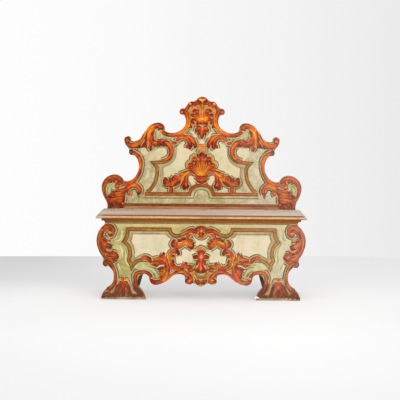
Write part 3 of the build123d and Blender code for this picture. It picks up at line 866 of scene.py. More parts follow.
# Front board's frames: an ochre moulding painted in perspective, a grey-tan
# band inside it, and an olive line against the cream.
front_frame = both_sides([
    bent([(-392, 270), (-424, 260), (-446, 242), (-463, 220, True), (-472, 247), (-484, 268), (-476, 289),
        (-475, 313), (-479, 342), (-492, 368), (-516, 391, True), (-502, 412), (-494, 436),
        (-490, 474, True), (-210, 474, True), (-202, 452), (-185, 437), (-160, 432), (-128, 440),
        (-100, 455), (-84, 464)], 13.5, 0.42),
])
brushed("front_frame", "front_board", front_frame, frame_paint, **frame_relief)
front_grey = both_sides([
    bent([(-380, 294), (-404, 290), (-428, 278), (-450, 258, True), (-458, 290), (-456, 315), (-460, 348),
        (-474, 379), (-488, 396, True), (-475, 425), (-470, 454, True), (-222, 454, True), (-208, 432),
        (-186, 420)], 10),
])
brushed("front_grey_band", "front_board", front_grey, greige, **band_wash)
front_lines = both_sides([
    bent([(-600, 514), (-300, 514), (0, 514)], 4),
    bent([(-366, 308), (-404, 301), (-428, 288), (-438, 274, True), (-448, 300), (-446, 318), (-450, 350),
        (-462, 382), (-472, 396, True), (-462, 422), (-458, 443, True), (-236, 443, True), (-222, 427),
        (-204, 415)], 3.2),
    bent([(-456, 196), (-424, 224), (-392, 235), (-352, 240)], 3),
])
brushed("front_olive_lines", "front_board", front_lines, olive, **ruled_line)


# Front board's ornament: C-scrolls on the sides, acanthus in the apron, leaf
# swags round a shell, and palmettes on the feet. Leaves are raised paint on a
# halo and a contour; pockets between them are flat coats.
front_half = [
    # side scroll, its lobes and eyes
    (0.2, (-664, 424, 6, 0.3), (-645, 404, 12, 0.2), (-622, 398, 10, 0.14), (-604, 402, 3, 0.08)),
    (0.5, (-672, 398, 8, 0.5), (-650, 374, 15, 0.56), (-622, 363, 13, 0.3), (-598, 367, 4, 0.12)),
    (0.8, (-672, 362, 8, 0.5), (-648, 338, 15, 0.52), (-622, 329, 12, 0.26), (-604, 337, 4, 0.12)),
    (0.4, (-645, 296, 6, 0.35), (-615, 266, 11, 0.34), (-585, 257, 9, 0.25), (-560, 266, 3, 0.15)),
    (1.0, (-664, 330, 8, 0.4), (-642, 302, 16, 0.5), (-612, 283, 17, 0.4), (-588, 280, 13, 0.3)),
    *eye(-584, 298, 25, 0.24, 0.44, 1.6),
    (1.4, (-622, 446, 6, 0.2), (-607, 432, 9, 0.16), (-591, 446, 12, 0.14), (-589, 473, 14, 0.16),
        (-610, 493, 15, 0.26), (-640, 487, 18, 0.34), (-664, 464, 19, 0.26), (-678, 430, 20, 0.2),
        (-681, 392, 20, 0.18), (-675, 352, 19, 0.2), (-661, 314, 16, 0.22), (-644, 283, 11, 0.2),
        (-634, 268, 6, 0.15)),
    (2.0, (-604, 489, 3, 0.26), (-638, 478, 4, 0.4), (-656, 452, 4, 0.4), (-662, 412, 4, 0.36),
        (-659, 372, 4, 0.36), (-650, 334, 3, 0.26)),
    *eye(-609, 454, 19, 0.4, 0.66, 2.0),
    # lower scroll down to the foot
    (0.6, (-626, 256, 11, 0.12), (-606, 240, 13, 0.16), (-592, 215, 13, 0.16), (-582, 185, 13, 0.16),
        (-576, 155, 13, 0.14), (-577, 125, 13, 0.12), (-586, 100, 14, 0.18), (-604, 80, 13, 0.1),
        (-625, 68, 10, 0.02)),
    (1.0, (-601, 236, 2, 0.26), (-585, 212, 4, 0.38), (-575, 182, 4, 0.4), (-569, 150, 4, 0.38),
        (-571, 122, 3, 0.24)),
    *eye(-642, 245, 20, 0.02, 0.16, 1.2),
    (0.8, (-434, 110, 10, 0.15), (-440, 150, 12, 0.2), (-430, 176, 12, 0.28), (-400, 186, 11, 0.3),
        (-366, 184, 10, 0.28), (-342, 170, 9, 0.2), (-332, 150, 8, 0.15)),
    # great scroll of the apron: a folded leaf above, feathers inside, and the band that bears them
    (0.3, (-240, 252, 6, 0.4), (-262, 250, 10, 0.26), (-290, 247, 13, 0.3), (-314, 246, 14, 0.3),
        (-337, 244, 9, 0.7)),
    (0.6, (-284, 234, 3, 0.1), (-296, 230, 7, -0.06), (-312, 234, 5, -0.02), (-328, 236, 2, 0.1)),
    (0.8, (-268, 250, 2, 0.0), (-278, 248, 4), (-288, 250, 2)),
    (0.8, (-222, 232, 10, 0.4), (-230, 254, 13, 0.44), (-252, 268, 12, 0.46), (-284, 275, 11, 0.42),
        (-312, 270, 9, 0.36), (-330, 260, 5, 0.3)),
    (1.2, (-252, 262, 2, 0.06), (-266, 266, 4), (-282, 264, 4), (-298, 260, 3), (-312, 254, 2)),
    (0.7, (-262, 276, 6, 0.36), (-268, 292, 9, 0.12), (-272, 304, 5, 0.02)),
    (0.8, (-246, 274, 7, 0.4), (-252, 294, 12, 0.22), (-249, 316, 6, -0.08)),
    (0.7, (-234, 266, 6, 0.4), (-238, 284, 9, 0.2), (-238, 296, 4, 0.3)),
    (1.2, (-240, 308, 2, 0.9), (-237, 301, 4), (-234, 292, 2)),
    (1.0, (-224, 296, 2, 0.9), (-222, 287, 4), (-223, 278, 2)),
    (0.4, (-242, 146, 5, 0.3), (-256, 152, 8, 0.2), (-271, 144, 5, 0.0)),
    (0.5, (-236, 162, 6, 0.34), (-252, 170, 9, 0.28), (-265, 165, 8, 0.2), (-275, 153, 5, 0.0)),
    (0.6, (-232, 178, 6, 0.34), (-250, 186, 9, 0.3), (-266, 182, 8, 0.24), (-277, 171, 5, 0.0)),
    (0.7, (-229, 193, 6, 0.3), (-248, 201, 9, 0.32), (-266, 198, 8, 0.26), (-280, 188, 5, 0.02)),
    (0.8, (-228, 206, 6, 0.26), (-246, 213, 8, 0.12), (-265, 214, 8, 0.08), (-285, 204, 6, -0.1)),
    (1.1, (-254, 202, 2, 0.56), (-246, 195, 4), (-240, 185, 2)),
    (1.3, (-262, 244, 2, 0.02), (-258, 242, 4), (-252, 240, 2)),
    (1.3, (-242, 232, 2, 0.02), (-238, 226, 4), (-235, 219, 2)),
    (1.3, (-233, 218, 2, 0.04), (-231, 212, 4), (-230, 205, 2)),
    (1.2, (-345, 148, 5, 0.1), (-339, 128, 13, 0.0), (-316, 117, 15, 0.08), (-286, 116, 16, 0.22),
        (-260, 126, 18, 0.44), (-241, 147, 18, 0.5), (-229, 174, 15, 0.42), (-221, 202, 13, 0.32),
        (-219, 232, 11, 0.36)),
    (1.5, (-338, 142, 2, 0.84), (-328, 147, 4), (-314, 142, 2)),
    (1.2, (-396, 281, 10, 0.4), (-372, 285, 12, 0.3), (-350, 277, 12, 0.12), (-338, 264, 10, 0.04),
        (-346, 250, 7, 0.0)),
    (1.2, (-328, 276, 2, 0.9), (-326, 268, 4), (-330, 260, 2)),
    (0.8, (-262, 118, 6, 0.6), (-236, 132, 10, 0.58), (-206, 155, 13, 0.46), (-178, 172, 14, 0.42),
        (-148, 182, 15, 0.4), (-118, 184, 15, 0.38), (-92, 172, 15, 0.36), (-72, 152, 14, 0.34),
        (-62, 132, 10, 0.4)),
    (1.2, (-62, 148, 6, 0.4), (-64, 126, 13, 0.36), (-84, 116, 14, 0.24), (-104, 126, 11, 0.06),
        (-98, 142, 5, 0.0)),
    boss(-78, 132, 10, 0.6, 1.8),
    # C-scroll, feathered inside, and the leaf at its end
    (0.8, (-194, 332, 5, 0.4), (-207, 312, 8, 0.5), (-213, 286, 8, 0.52), (-213, 258, 8, 0.6),
        (-207, 235, 8, 0.6), (-194, 217, 8, 0.5), (-172, 206, 8, 0.45), (-148, 203, 8, 0.4),
        (-122, 205, 6, 0.36)),
    (1.0, (-153, 300, 5, -0.04), (-151, 314, 9, 0.04), (-159, 327, 12, 0.2), (-176, 330, 13, 0.3),
        (-192, 318, 13, 0.38), (-199, 296, 12, 0.3), (-199, 270, 12, 0.36), (-195, 247, 12, 0.24),
        (-184, 228, 11, 0.24), (-164, 217, 11, 0.34), (-140, 215, 10, 0.26), (-118, 218, 7, 0.06)),
    (1.3, (-197, 304, 4, 0.3), (-187, 298, 9, 0.1), (-177, 296, 4, 0.0)),
    (1.3, (-197, 266, 4, 0.24), (-187, 260, 9, 0.0), (-181, 250, 4, -0.04)),
    (1.3, (-192, 242, 4, 0.24), (-182, 236, 8, 0.06), (-173, 230, 4, 0.0)),
    (1.5, (-178, 318, 2, 0.02), (-170, 317, 4), (-163, 319, 2)),
    (1.5, (-199, 275, 2, 0.84), (-190, 279, 4), (-181, 284, 2)),
    (1.5, (-192, 306, 2, 0.8), (-181, 310, 4), (-170, 307, 2)),
    (1.2, (-130, 212, 7, 0.4), (-123, 230, 10, 0.46), (-119, 246, 4, 0.3)),
    (1.4, (-112, 208, 7, 0.56), (-105, 230, 11, 0.34), (-98, 255, 6, -0.1)),
    (1.6, (-98, 214, 7, 0.42), (-78, 224, 13, 0.26), (-56, 222, 6, 0.2)),
    (1.0, (-144, 206, 4, 0.2), (-128, 200, 8, 0.08), (-112, 204, 4, 0.2)),
    (1.0, (-88, 200, 6, 0.4), (-66, 202, 9, 0.28), (-46, 206, 4, 0.12)),
    # leaf swag: two leaves off one knot
    (0.6, (-102, 406, 7, 0.5), (-120, 389, 13, 0.46), (-140, 377, 17, 0.56), (-162, 373, 18, 0.46),
        (-180, 374, 14, 0.3), (-190, 384, 7, 0.1)),
    (0.9, (-99, 404, 6, 0.5), (-111, 384, 8, 0.56), (-127, 366, 8, 0.44), (-148, 355, 8, 0.26),
        (-168, 353, 7, 0.2), (-184, 361, 6, 0.14)),
    (1.0, (-104, 408, 6, 0.3), (-118, 413, 9, 0.12), (-134, 410, 6, 0.02)),
    (1.1, (-128, 398, 6, 0.2), (-142, 400, 10, -0.04), (-155, 402, 5, -0.1)),
    (1.2, (-162, 386, 6, 0.5), (-173, 394, 10, 0.44), (-182, 402, 6, 0.0), (-188, 396, 4, -0.08)),
    (1.0, (-187, 398, 4, 0.0), (-195, 384, 6), (-195, 368, 6), (-185, 355, 4)),
    (1.5, (-152, 386, 2, 0.06), (-160, 379, 4), (-166, 367, 2)),
    (1.6, (-126, 391, 2, 0.94), (-141, 385, 4), (-156, 385, 2)),
    (1.6, (-160, 399, 2, 0.9), (-166, 398, 4), (-171, 391, 2)),
    (1.0, (-168, 358, 5, 0.3), (-172, 346, 6, 0.08), (-168, 338, 3, 0.0)),
    (0.6, (-98, 410, 7, 0.46), (-90, 391, 13, 0.4), (-80, 374, 16, 0.42), (-70, 362, 13, 0.44),
        (-62, 354, 6, 0.2)),
    (0.9, (-99, 402, 4, 0.55), (-98, 384, 6, 0.6), (-92, 366, 6, 0.55), (-82, 354, 4, 0.3)),
    (1.0, (-84, 405, 6, 0.3), (-68, 403, 9, 0.22), (-57, 397, 4, 0.1)),
    (1.1, (-72, 386, 6, 0.3), (-56, 383, 10, 0.08), (-45, 388, 5, -0.06)),
    (1.2, (-72, 371, 7, 0.66), (-58, 365, 10, 0.3), (-47, 367, 5, 0.06)),
    (1.1, (-76, 362, 6, 0.4), (-67, 350, 8, 0.08), (-58, 344, 4, -0.04)),
    (1.6, (-62, 392, 2, 0.86), (-57, 391, 4), (-51, 389, 2)),
    # stems from the shell down to the knot, and out to the frame
    (0.8, (-58, 449, 4, 0.6), (-76, 443, 8, 0.44), (-88, 430, 9, 0.36), (-96, 414, 7, 0.4)),
    (1.2, (-124, 444, 5, 0.46), (-104, 454, 8, 0.42), (-82, 463, 10, 0.34), (-60, 466, 12, 0.24),
        (-42, 462, 10, 0.2), (-26, 456, 5, 0.1)),
    (1.4, (-96, 466, 2, 0.0), (-80, 474, 4), (-62, 478, 4), (-46, 477, 2)),
    (1.3, (-84, 450, 2, 0.84), (-70, 450, 4), (-54, 446, 3), (-46, 444, 2)),
    (0.6, (-60, 192, 4, 0.6), (-46, 172, 7, 0.62), (-32, 148, 8, 0.6), (-18, 132, 6, 0.5)),
    # leaves of the pendant
    (1.2, (-2, 126, 7, 0.3), (-14, 119, 11, 0.14), (-24, 108, 7, -0.02), (-25, 101, 3, -0.06)),
    (1.1, (-14, 128, 5, 0.3), (-30, 126, 8, 0.12), (-41, 131, 5, -0.02)),
]
front_centre = [
    *fan(0, 454, 36, 144, (50, 47, 46, 46, 46, 47, 50), 9, 0.4, 1.2, 0.04),
    (2.0, (0, 464, 8, 0.5), (0, 480, 14, 0.36), (0, 494, 6, 0.1)),
    (2.2, (-8, 467, 2, 0.86), (0, 464, 4), (8, 467, 2)),
    (0.8, (-34, 456, 4, 0.3), (-27, 440, 8, 0.7), (0, 428, 11, 0.5), (27, 440, 8, 0.7),
        (34, 456, 4, 0.3)),
    (1.4, (0, 456, 14, 0.1), (0, 446, 17, 0.12), (0, 434, 14, 0.22), (0, 422, 7, 0.4)),
    (1.8, (-16, 434, 2, 0.0), (-10, 432, 4), (0, 430, 4), (8, 433, 2)),
    (0.2, (-28, 332, 2, 0.66), (-17, 344, 4), (0, 350, 5), (17, 344, 4), (28, 332, 2)),
    (0.6, (0, 118, 6, 0.3), (0, 106, 7, 0.6), (0, 98, 4, 0.8)),
]
front_leaves = both_sides(front_half) + front_centre
# palmette of the middle: a fan of five lobes over a fluted skirt
front_palmette = both_sides([
    (0.6, (-8, 300, 7, 0.5), (-17, 310, 9, 0.2), (-28, 319, 6, -0.06)),
    (0.6, (-10, 288, 8, 0.5), (-26, 291, 11, 0.14), (-42, 289, 10, 0.1), (-55, 284, 4, 0.1)),
    (0.9, (-28, 298, 2, 0.0), (-36, 293, 5, -0.08), (-46, 286, 3, 0.0)),
    (1.0, (-21, 306, 1.5, 0.9), (-29, 311, 3), (-36, 312, 1.5)),
    (1.0, (-9, 242, 6, 0.46), (-18, 252, 10, 0.3), (-31, 263, 7, 0.06)),
    (1.1, (-11, 248, 5, 0.5), (-24, 230, 9, 0.76), (-33, 214, 10, 0.66), (-37, 199, 6, 0.1)),
    (1.2, (-8, 246, 4, 0.36), (-14, 227, 6, 0.24), (-20, 212, 7, 0.12), (-26, 199, 4, -0.08)),
    (1.7, (-26, 235, 1.5, 0.9), (-30, 226, 3.5), (-34, 215, 1.5)),
]) + [
    (0.8, (0, 282, 12, 0.7), (0, 296, 17, 0.62), (0, 312, 17, 0.4), (0, 326, 14, 0.2), (0, 338, 6, 0.0)),
    (0.9, (0, 284, 10, 0.62), (0, 274, 12, 0.5), (0, 263, 10, 0.4)),
    (1.4, (0, 256, 5, 0.5), (-1, 238, 7, 0.46), (1, 219, 11, 0.74), (0, 204, 13, 0.5), (0, 189, 9, 0.2)),
    (1.5, (-36, 197, 5, -0.06), (-17, 191, 7, 0.04), (0, 189, 7, 0.2), (17, 191, 7, 0.06),
        (36, 197, 5, -0.06)),
    (1.7, (-7, 291, 2, 0.9), (2, 286, 5), (11, 289, 2)),
    (1.7, (2, 226, 1.5, 0.9), (3, 217, 4), (2, 207, 1.5)),
    (1.7, (9, 236, 2, 0.0), (14, 222, 5, -0.04), (17, 210, 2, 0.0)),
    (1.2, (-12, 330, 2, 0.0), (0, 333, 5, -0.04), (12, 328, 2, 0.0)),
]
# palmette of each foot: cap, bud and lobes
front_feet = both_sides([
    (0.0, (-604, 46, 5, 0.3), (-622, 40, 10, 0.12), (-641, 29, 13, 0.06), (-660, 14, 8, -0.1)),
    (0.2, (-586, 26, 4, 0.1), (-606, 26, 9, 0.0), (-628, 14, 6, 0.2)),
    (0.6, (-602, 53, 1.5, 0.5), (-619, 54, 3, 0.6), (-632, 50, 1.5, 0.4)),
    (0.3, (-584, 116, 9, 0.24), (-593, 96, 11, 0.06), (-608, 80, 11, -0.04), (-632, 66, 6, -0.1)),
    (0.4, (-544, 102, 7, 0.3), (-556, 80, 12, 0.24), (-565, 56, 14, 0.18), (-575, 32, 12, 0.1),
        (-582, 16, 6, 0.02)),
    (0.6, (-556, 100, 3, 0.0), (-566, 84, 5, -0.1), (-571, 66, 3, 0.0)),
    (0.6, (-534, 84, 7, 0.36), (-540, 62, 10, 0.34), (-546, 38, 8, 0.2), (-550, 20, 4, 0.1)),
    (0.5, (-518, 72, 5, 0.14), (-519, 50, 11, 0.06), (-520, 22, 8, 0.1)),
    (0.4, (-490, 100, 5, 0.1), (-484, 80, 8, 0.0), (-479, 58, 10, 0.02), (-471, 38, 9, 0.0),
        (-464, 22, 5, 0.0)),
    (0.6, (-462, 24, 3, 0.0), (-446, 23, 7, -0.06), (-428, 27, 7, 0.0), (-410, 24, 3, 0.0)),
    (0.2, (-442, 150, 6, 0.5), (-440, 115, 12, 0.34), (-436, 90, 13, 0.14), (-428, 70, 14, 0.02),
        (-412, 48, 14, 0.06), (-390, 22, 9, 0.0)),
])
front_hearts = both_sides([
    (0.6, (-508, 84, 6, 0.4), (-499, 66, 9, 0.32), (-491, 46, 7, 0.2), (-486, 30, 3, 0.1)),
    (0.8, (-518, 104, 18, 0.2), (-518, 117, 28, 0.5), (-518, 130, 25, 0.66), (-518, 144, 14, 0.4)),
    (1.9, (-544, 122, 3, 0.7), (-533, 132, 7, 0.86), (-521, 122, 4, 0.8)),
    (1.9, (-515, 122, 4, 0.8), (-503, 132, 7, 0.86), (-492, 122, 3, 0.7)),
    (2.2, (-542, 117, 2, 0.1), (-531, 121, 4, 0.04), (-518, 114, 5, 0.0), (-505, 121, 4, 0.04),
        (-494, 117, 2, 0.1)),
    (2.2, (-520, 146, 2, 0.3), (-518, 134, 3, 0.1), (-518, 124, 2, 0.1)),
    (1.2, (-546, 116, 3, 0.0), (-538, 112, 6, -0.04), (-529, 111, 3, 0.0)),
    (1.2, (-507, 111, 3, 0.0), (-498, 112, 6, -0.04), (-490, 116, 3, 0.0)),
    (1.4, (-518, 116, 4, 0.3), (-519, 104, 14, 0.06), (-520, 91, 19, 0.24), (-518, 74, 9, 0.3)),
    (1.5, (-511, 98, 2, 0.4), (-507, 89, 4, 0.56), (-505, 80, 2, 0.4)),
])
# A red undercoat glows between the leaves' lobes.
undercoat = one_coat("red_undercoat_tempera", "7C2E16", "9A4420", "B25A2C", 25, 0.5)
under_leaves = 0.93
field("front_undercoat", front_face, under_leaves, undercoat, mirrored([
    [(-676, 420), (-655, 410), (-625, 400), (-604, 394), (-606, 372), (-595, 360), (-602, 336),
        (-578, 324), (-558, 305), (-562, 276), (-590, 258), (-630, 262), (-650, 285), (-668, 330),
        (-680, 380)],
    [(-192, 398), (-170, 386), (-150, 394), (-120, 412), (-95, 428), (-72, 402), (-48, 384), (-46, 354),
        (-62, 348), (-84, 362), (-100, 388), (-124, 372), (-150, 352), (-182, 350), (-196, 376)],
    [(-262, 300), (-240, 308), (-222, 292), (-212, 250), (-210, 200), (-222, 160), (-250, 134),
        (-266, 146), (-272, 170), (-280, 200), (-266, 214), (-244, 216), (-240, 228), (-256, 240),
        (-298, 234), (-326, 248), (-300, 282)],
]) + [
    [(0, 338), (-19, 330), (-25, 310), (-50, 300), (-55, 287), (-24, 280), (-22, 264), (-36, 244),
        (-44, 208), (-30, 193), (0, 188), (30, 193), (44, 208), (36, 244), (22, 264), (24, 280),
        (55, 287), (50, 300), (25, 310), (19, 330)],
])
# Echoes of the contours, brushed loosely on the ground beside the frame and scrolls.
scribble = one_coat("olive_scribble_tempera", "8A8048", "9C9258", "AEA46C", 20)
front_scribbles = both_sides([
    (0.0, (-506, 486, 2), (-512, 442, 3), (-515, 416, 4), (-526, 399, 3), (-536, 386, 3), (-524, 366, 4),
        (-507, 350, 3), (-499, 326, 3), (-494, 296, 3), (-488, 264, 3), (-474, 238, 3), (-456, 220, 2)),
    (0.0, (-558, 474, 1), (-548, 442, 2), (-551, 412, 3), (-568, 396, 1)),
    (0.0, (-522, 358, 1), (-513, 330, 3), (-510, 300, 2), (-517, 270, 3), (-506, 242, 1)),
    (0.0, (-546, 246, 1), (-538, 222, 3), (-530, 204, 1)),
    (0.0, (-490, 230, 1), (-478, 214, 3), (-465, 198, 3), (-456, 188, 1)),
])
brushed("front_olive_scribbles", "front_board", front_scribbles, scribble, coat=0.12)
pale_scribble = one_coat("pale_scribble_tempera", "C8C08A", "D8D09E", "E2DAB0", 20)
front_pale_scribbles = both_sides([
    (0.0, (-532, 480, 2), (-528, 446, 4), (-533, 416, 4), (-553, 399, 4), (-580, 388, 2)),
    (0.0, (-549, 368, 2), (-535, 346, 4), (-526, 316, 4), (-528, 288, 2)),
    (0.0, (-557, 242, 2), (-547, 220, 4), (-538, 198, 2)),
    (0.0, (-508, 332, 2), (-503, 296, 4), (-504, 268, 3), (-494, 240, 4), (-480, 222, 2)),
])
brushed("front_pale_scribbles", "front_board", front_pale_scribbles, pale_scribble, coat=0.16)
front_outlined = front_leaves + front_palmette + front_hearts
brushed("front_olive_contour", "front_board", front_outlined, contour, **contour_wash)
brushed("front_pale_halo", "front_board", front_outlined, halo, **halo_wash)
# Pockets between scroll and leaf: pale green, and rosy where the gesso shows through.
pale_pocket = one_coat("pale_pocket_tempera", "AAA270", "C0BA88", "D4CEA2", 26)
pocket_coat = 0.94
field("front_pale_pockets", front_face, pocket_coat, pale_pocket, mirrored([
    [(-446, 226), (-428, 246), (-400, 252), (-370, 238), (-348, 222), (-332, 213), (-313, 204),
        (-303, 188), (-294, 172), (-291, 152), (-297, 143), (-303, 160), (-318, 178), (-336, 190),
        (-360, 200), (-392, 207), (-420, 206), (-438, 212)],
]))
rosy = one_coat("rosy_gesso_tempera", "C49C82", "D6AE96", "E4C6AE", 22)
over_pocket = 0.95
field("front_rosy_pockets", front_face, over_pocket, rosy, mirrored([
    [(-298, 214), (-288, 234), (-270, 242), (-252, 236), (-240, 222), (-254, 217), (-272, 221),
        (-288, 214)],
]))
front_pocket_lines = both_sides([
    (0.0, (-356, 224, 2), (-332, 220, 3), (-313, 213, 4), (-303, 200, 3), (-297, 187, 4), (-286, 176, 2)),
    (0.0, (-356, 202, 2), (-336, 193, 3), (-322, 183, 4), (-308, 172, 4), (-300, 154, 2)),
])
pocket_line = 1.0
brushed("front_pocket_lines", "front_board", front_pocket_lines, olive, pocket_line)
brushed("front_umber_contour", "front_board", front_leaves + front_palmette, umber, **umber_wash)
# The front's leaves took more wear than the back's: browner and a little duller.
front_steps = (0.0, 0.2, 0.4, 0.58, 0.74, 0.88, 1.0)
front_acanthus = leaf_paint(
    "rubbed_acanthus_tempera",
    front_steps,
    ("663214", "93511F", "B46725", "C87826", "D68B28", "E19F31", "EABA58"),
    ("6C2218", "99351F", "B84827", "CB5A2A", "D8712A", "E18E33", "EAB65C"),
    "7C3E1A",
    bleached=0.22,
)
brushed("front_acanthus", "front_board", front_leaves, front_acanthus, **leaf_relief)
# Gaps and shadows between the lobes, over the leaves; the shadows are worn lighter on the right.
scroll_gaps = both_sides([
    (0.0, (-636, 414, 2), (-622, 406, 4), (-608, 403, 2)),
    (0.0, (-632, 390, 2), (-618, 385, 5), (-602, 384, 3)),
    (0.0, (-636, 340, 3), (-624, 333, 6), (-606, 328, 4), (-598, 333, 2)),
])
brushed("front_scroll_gaps", "front_board", scroll_gaps, greige, coat=2.9)
front_shadows = [
    # side scroll
    (0.9, (-690, 452, 1), (-696, 425, 3), (-698, 398, 3), (-694, 362, 3), (-684, 332, 2), (-668, 306, 3),
        (-648, 284, 2)),
    (1.3, (-652, 462, 1), (-657, 446, 3), (-664, 424, 4), (-666, 410, 2)),
    (0.2, (-664, 404, 2), (-650, 402, 4), (-638, 396, 5), (-628, 390, 2)),
    (0.0, (-622, 374, 2), (-608, 366, 5), (-598, 364, 5), (-590, 368, 2)),
    (0.0, (-618, 346, 2), (-606, 350, 3), (-596, 354, 2)),
    (1.3, (-668, 372, 1), (-669, 354, 4), (-662, 338, 2)),
    (0.2, (-644, 340, 2), (-641, 328, 5), (-636, 314, 3)),
    (0.4, (-634, 300, 2), (-618, 290, 4), (-602, 290, 3)),
    (2.3, (-614, 470, 2), (-606, 461, 5), (-594, 462, 2)),
    (1.2, (-618, 428, 2), (-604, 430, 4), (-594, 438, 2)),
    (2.2, (-594, 298, 2), (-588, 293, 5), (-580, 290, 2)),
    (0.4, (-566, 316, 2), (-560, 304, 5), (-554, 288, 5), (-560, 272, 3)),
    (1.8, (-656, 256, 2), (-656, 243, 5), (-649, 231, 6), (-638, 225, 3)),
    (1.0, (-640, 262, 2), (-622, 262, 4), (-604, 254, 2)),
    (0.6, (-622, 240, 3), (-608, 230, 5), (-598, 212, 4), (-590, 190, 2)),
    # leaves and C-scroll of the middle
    (1.4, (-190, 402, 1), (-184, 396, 4), (-180, 389, 2)),
    (1.4, (-157, 404, 2), (-147, 398, 5), (-136, 394, 2)),
    (1.4, (-126, 409, 2), (-112, 412, 4), (-100, 408, 1)),
    (1.4, (-64, 400, 1), (-53, 386, 3), (-51, 372, 5), (-57, 356, 3)),
    (1.4, (-80, 357, 1), (-69, 351, 3), (-59, 354, 1)),
    (1.4, (-169, 332, 2), (-157, 326, 5), (-153, 311, 4), (-154, 300, 2)),
    (1.4, (-197, 299, 2), (-191, 304, 4), (-184, 297, 2)),
    (1.4, (-187, 277, 2), (-185, 261, 4), (-188, 246, 3), (-180, 236, 1)),
    (1.4, (-105, 255, 1), (-98, 252, 4), (-95, 245, 1)),
    (1.4, (-134, 214, 2), (-126, 212, 4), (-118, 221, 2)),
    (1.4, (-180, 190, 1), (-168, 188, 3), (-156, 193, 1)),
    (1.4, (-152, 181, 1), (-130, 180, 2), (-108, 181, 1)),
    (1.4, (-85, 198, 2), (-77, 192, 4), (-70, 188, 2)),
    (1.4, (-74, 147, 2), (-84, 141, 4), (-101, 137, 4), (-106, 129, 2)),
    (2.0, (-49, 286, 2), (-42, 292, 4), (-35, 290, 2)),
    (2.0, (-31, 253, 1), (-26, 246, 4), (-22, 236, 2)),
    (1.4, (-253, 324, 2), (-246, 315, 4), (-240, 308, 1)),
    (1.4, (-289, 206, 2), (-281, 205, 5), (-269, 212, 2)),
    (1.4, (-237, 232, 1), (-236, 222, 4), (-232, 212, 2)),
    (2.0, (-36, 488, 1), (-30, 482, 4), (-24, 474, 1)),
]
maroon = one_coat("maroon_shadow_tempera", "43150C", "5E2012", "7A301C", 25)
worn_maroon = one_coat("worn_maroon_tempera", "6E3424", "86462E", "9A5A3E", 25)
front_shadow = 2.7
brushed("front_maroon_shadows", "front_board", front_shadows, maroon, front_shadow)
brushed("front_worn_shadows", "front_board", right_side(front_shadows), worn_maroon, front_shadow)
# The middle's palmette is redder, with pink lights.
red_palmette = leaf_paint(
    "red_palmette_tempera",
    front_steps,
    ("6E2C10", "944014", "B4521E", "CC662E", "E07C44", "EE9A64", "F4BC92"),
    ("6E2214", "943218", "B44226", "CC5634", "E06C44", "F08A5C", "F6B48C"),
    "7C3E1A",
    bleached=0.2,
)
brushed("front_palmette", "front_board", front_palmette, red_palmette, **over_relief)
# The feet are worn: a brown wash, beige channels and scuffed palmettes.
foot_brown = [(0.3, "5C3626"), (0.45, "7E4A32"), (0.58, "94603E"), (0.7, "AE8662")]
worn = tempera("worn_foot_tempera", foot_brown, 30)[0]
field("front_foot_wash", front_face, pocket_coat, worn, mirrored([
    [(-665, 4), (-659, 37), (-645, 57), (-634, 67), (-631, 76), (-606, 94), (-594, 108), (-566, 110),
        (-548, 112), (-518, 100), (-488, 112), (-466, 110), (-440, 120), (-425, 112), (-416, 88),
        (-398, 64), (-384, 43), (-372, 4), (-440, 2.5), (-520, 2.5), (-600, 2.5)],
]))
beige = one_coat("beige_foot_tempera", "8E6A48", "B08C64", "C8A680", 18, 0.5)
channel_coat = 0.955
field("front_foot_channels", front_face, channel_coat, beige, mirrored([
    [(-552, 118), (-566, 112), (-573, 96), (-581, 80), (-591, 65), (-605, 50), (-599, 42), (-587, 54),
        (-576, 72), (-568, 94), (-552, 106)],
    [(-486, 118), (-474, 122), (-462, 104), (-455, 84), (-454, 68), (-440, 54), (-430, 44), (-440, 38),
        (-456, 42), (-466, 58), (-471, 80), (-479, 100)],
]))
scuffed = leaf_paint(
    "scuffed_foot_tempera",
    (0.0, 0.3, 0.55, 0.8, 1.0),
    ("5A3826", "804A2E", "985430", "B06434", "C48446"),
    ("5C3024", "86402C", "A04A2E", "B45A34", "C88450"),
    "6E3E26",
    rim_from=0.72,
    bleached=0.04,
    browned=0.06,
)
brushed("front_foot_palmettes", "front_board", front_feet, scuffed, **leaf_relief)
brushed("front_foot_hearts", "front_board", front_hearts, front_acanthus, **over_relief)
# The feet's lower edge is rubbed and chipped to the gesso near the floor.
front_base = both_sides([
    (0.0, (-672, 4.5, 4.5), (-600, 5.5, 5.5), (-520, 8, 8), (-440, 7.5, 7.5), (-372, 7, 7)),
])
worn_tones = [(0.3, "6E543C"), (0.45, "94805F"), (0.6, "B2A283"), (0.72, "C0B498")]
rubbed = tempera("rubbed_edge_tempera", worn_tones, 40, (0.4, 1, 1), 0.6)[0]
brushed("front_worn_foot", "front_board", front_base, rubbed, coat=2.6)
gesso = one_coat("chipped_gesso", "DCD6C8", "F0ECE2", "F4F2EC", 12, 0.3)
chip_coat = 2.4
field("front_gesso_chips", front_face, chip_coat, gesso, [
    [(368, 8), (362, 20), (372, 27), (388, 22), (399, 13), (392, 6), (380, 9)],
    [(406, 3), (402, 9), (416, 12), (430, 8), (424, 3)],
    [(520, 2), (518, 8), (534, 10), (548, 6), (552, 2)],
    [(566, 2), (560, 10), (576, 15), (592, 11), (604, 14), (614, 6), (600, 2), (584, 5)],
    [(622, 2), (620, 9), (634, 12), (648, 8), (654, 2)],
])
# Bowl under the palmette, bronze with a pale lip.
front_bowl = [
    (0.6, (-40, 188, 4), (-28, 168, 12), (0, 156, 15), (28, 168, 12), (40, 188, 4)),
]
bowl_paint = one_coat("bronze_bowl_tempera", "685A22", "827036", "9C8A4C", 16)
brushed("front_olive_bowl", "front_board", front_bowl, bowl_paint, coat=0.6, crown=0.03, facets=12)
bowl_lip = [(0.0, (-30, 180, 2), (-16, 175, 6), (0, 173, 8), (16, 175, 6), (30, 180, 2))]
brushed("front_bowl_lip", "front_board", bowl_lip, greige, coat=2.2)


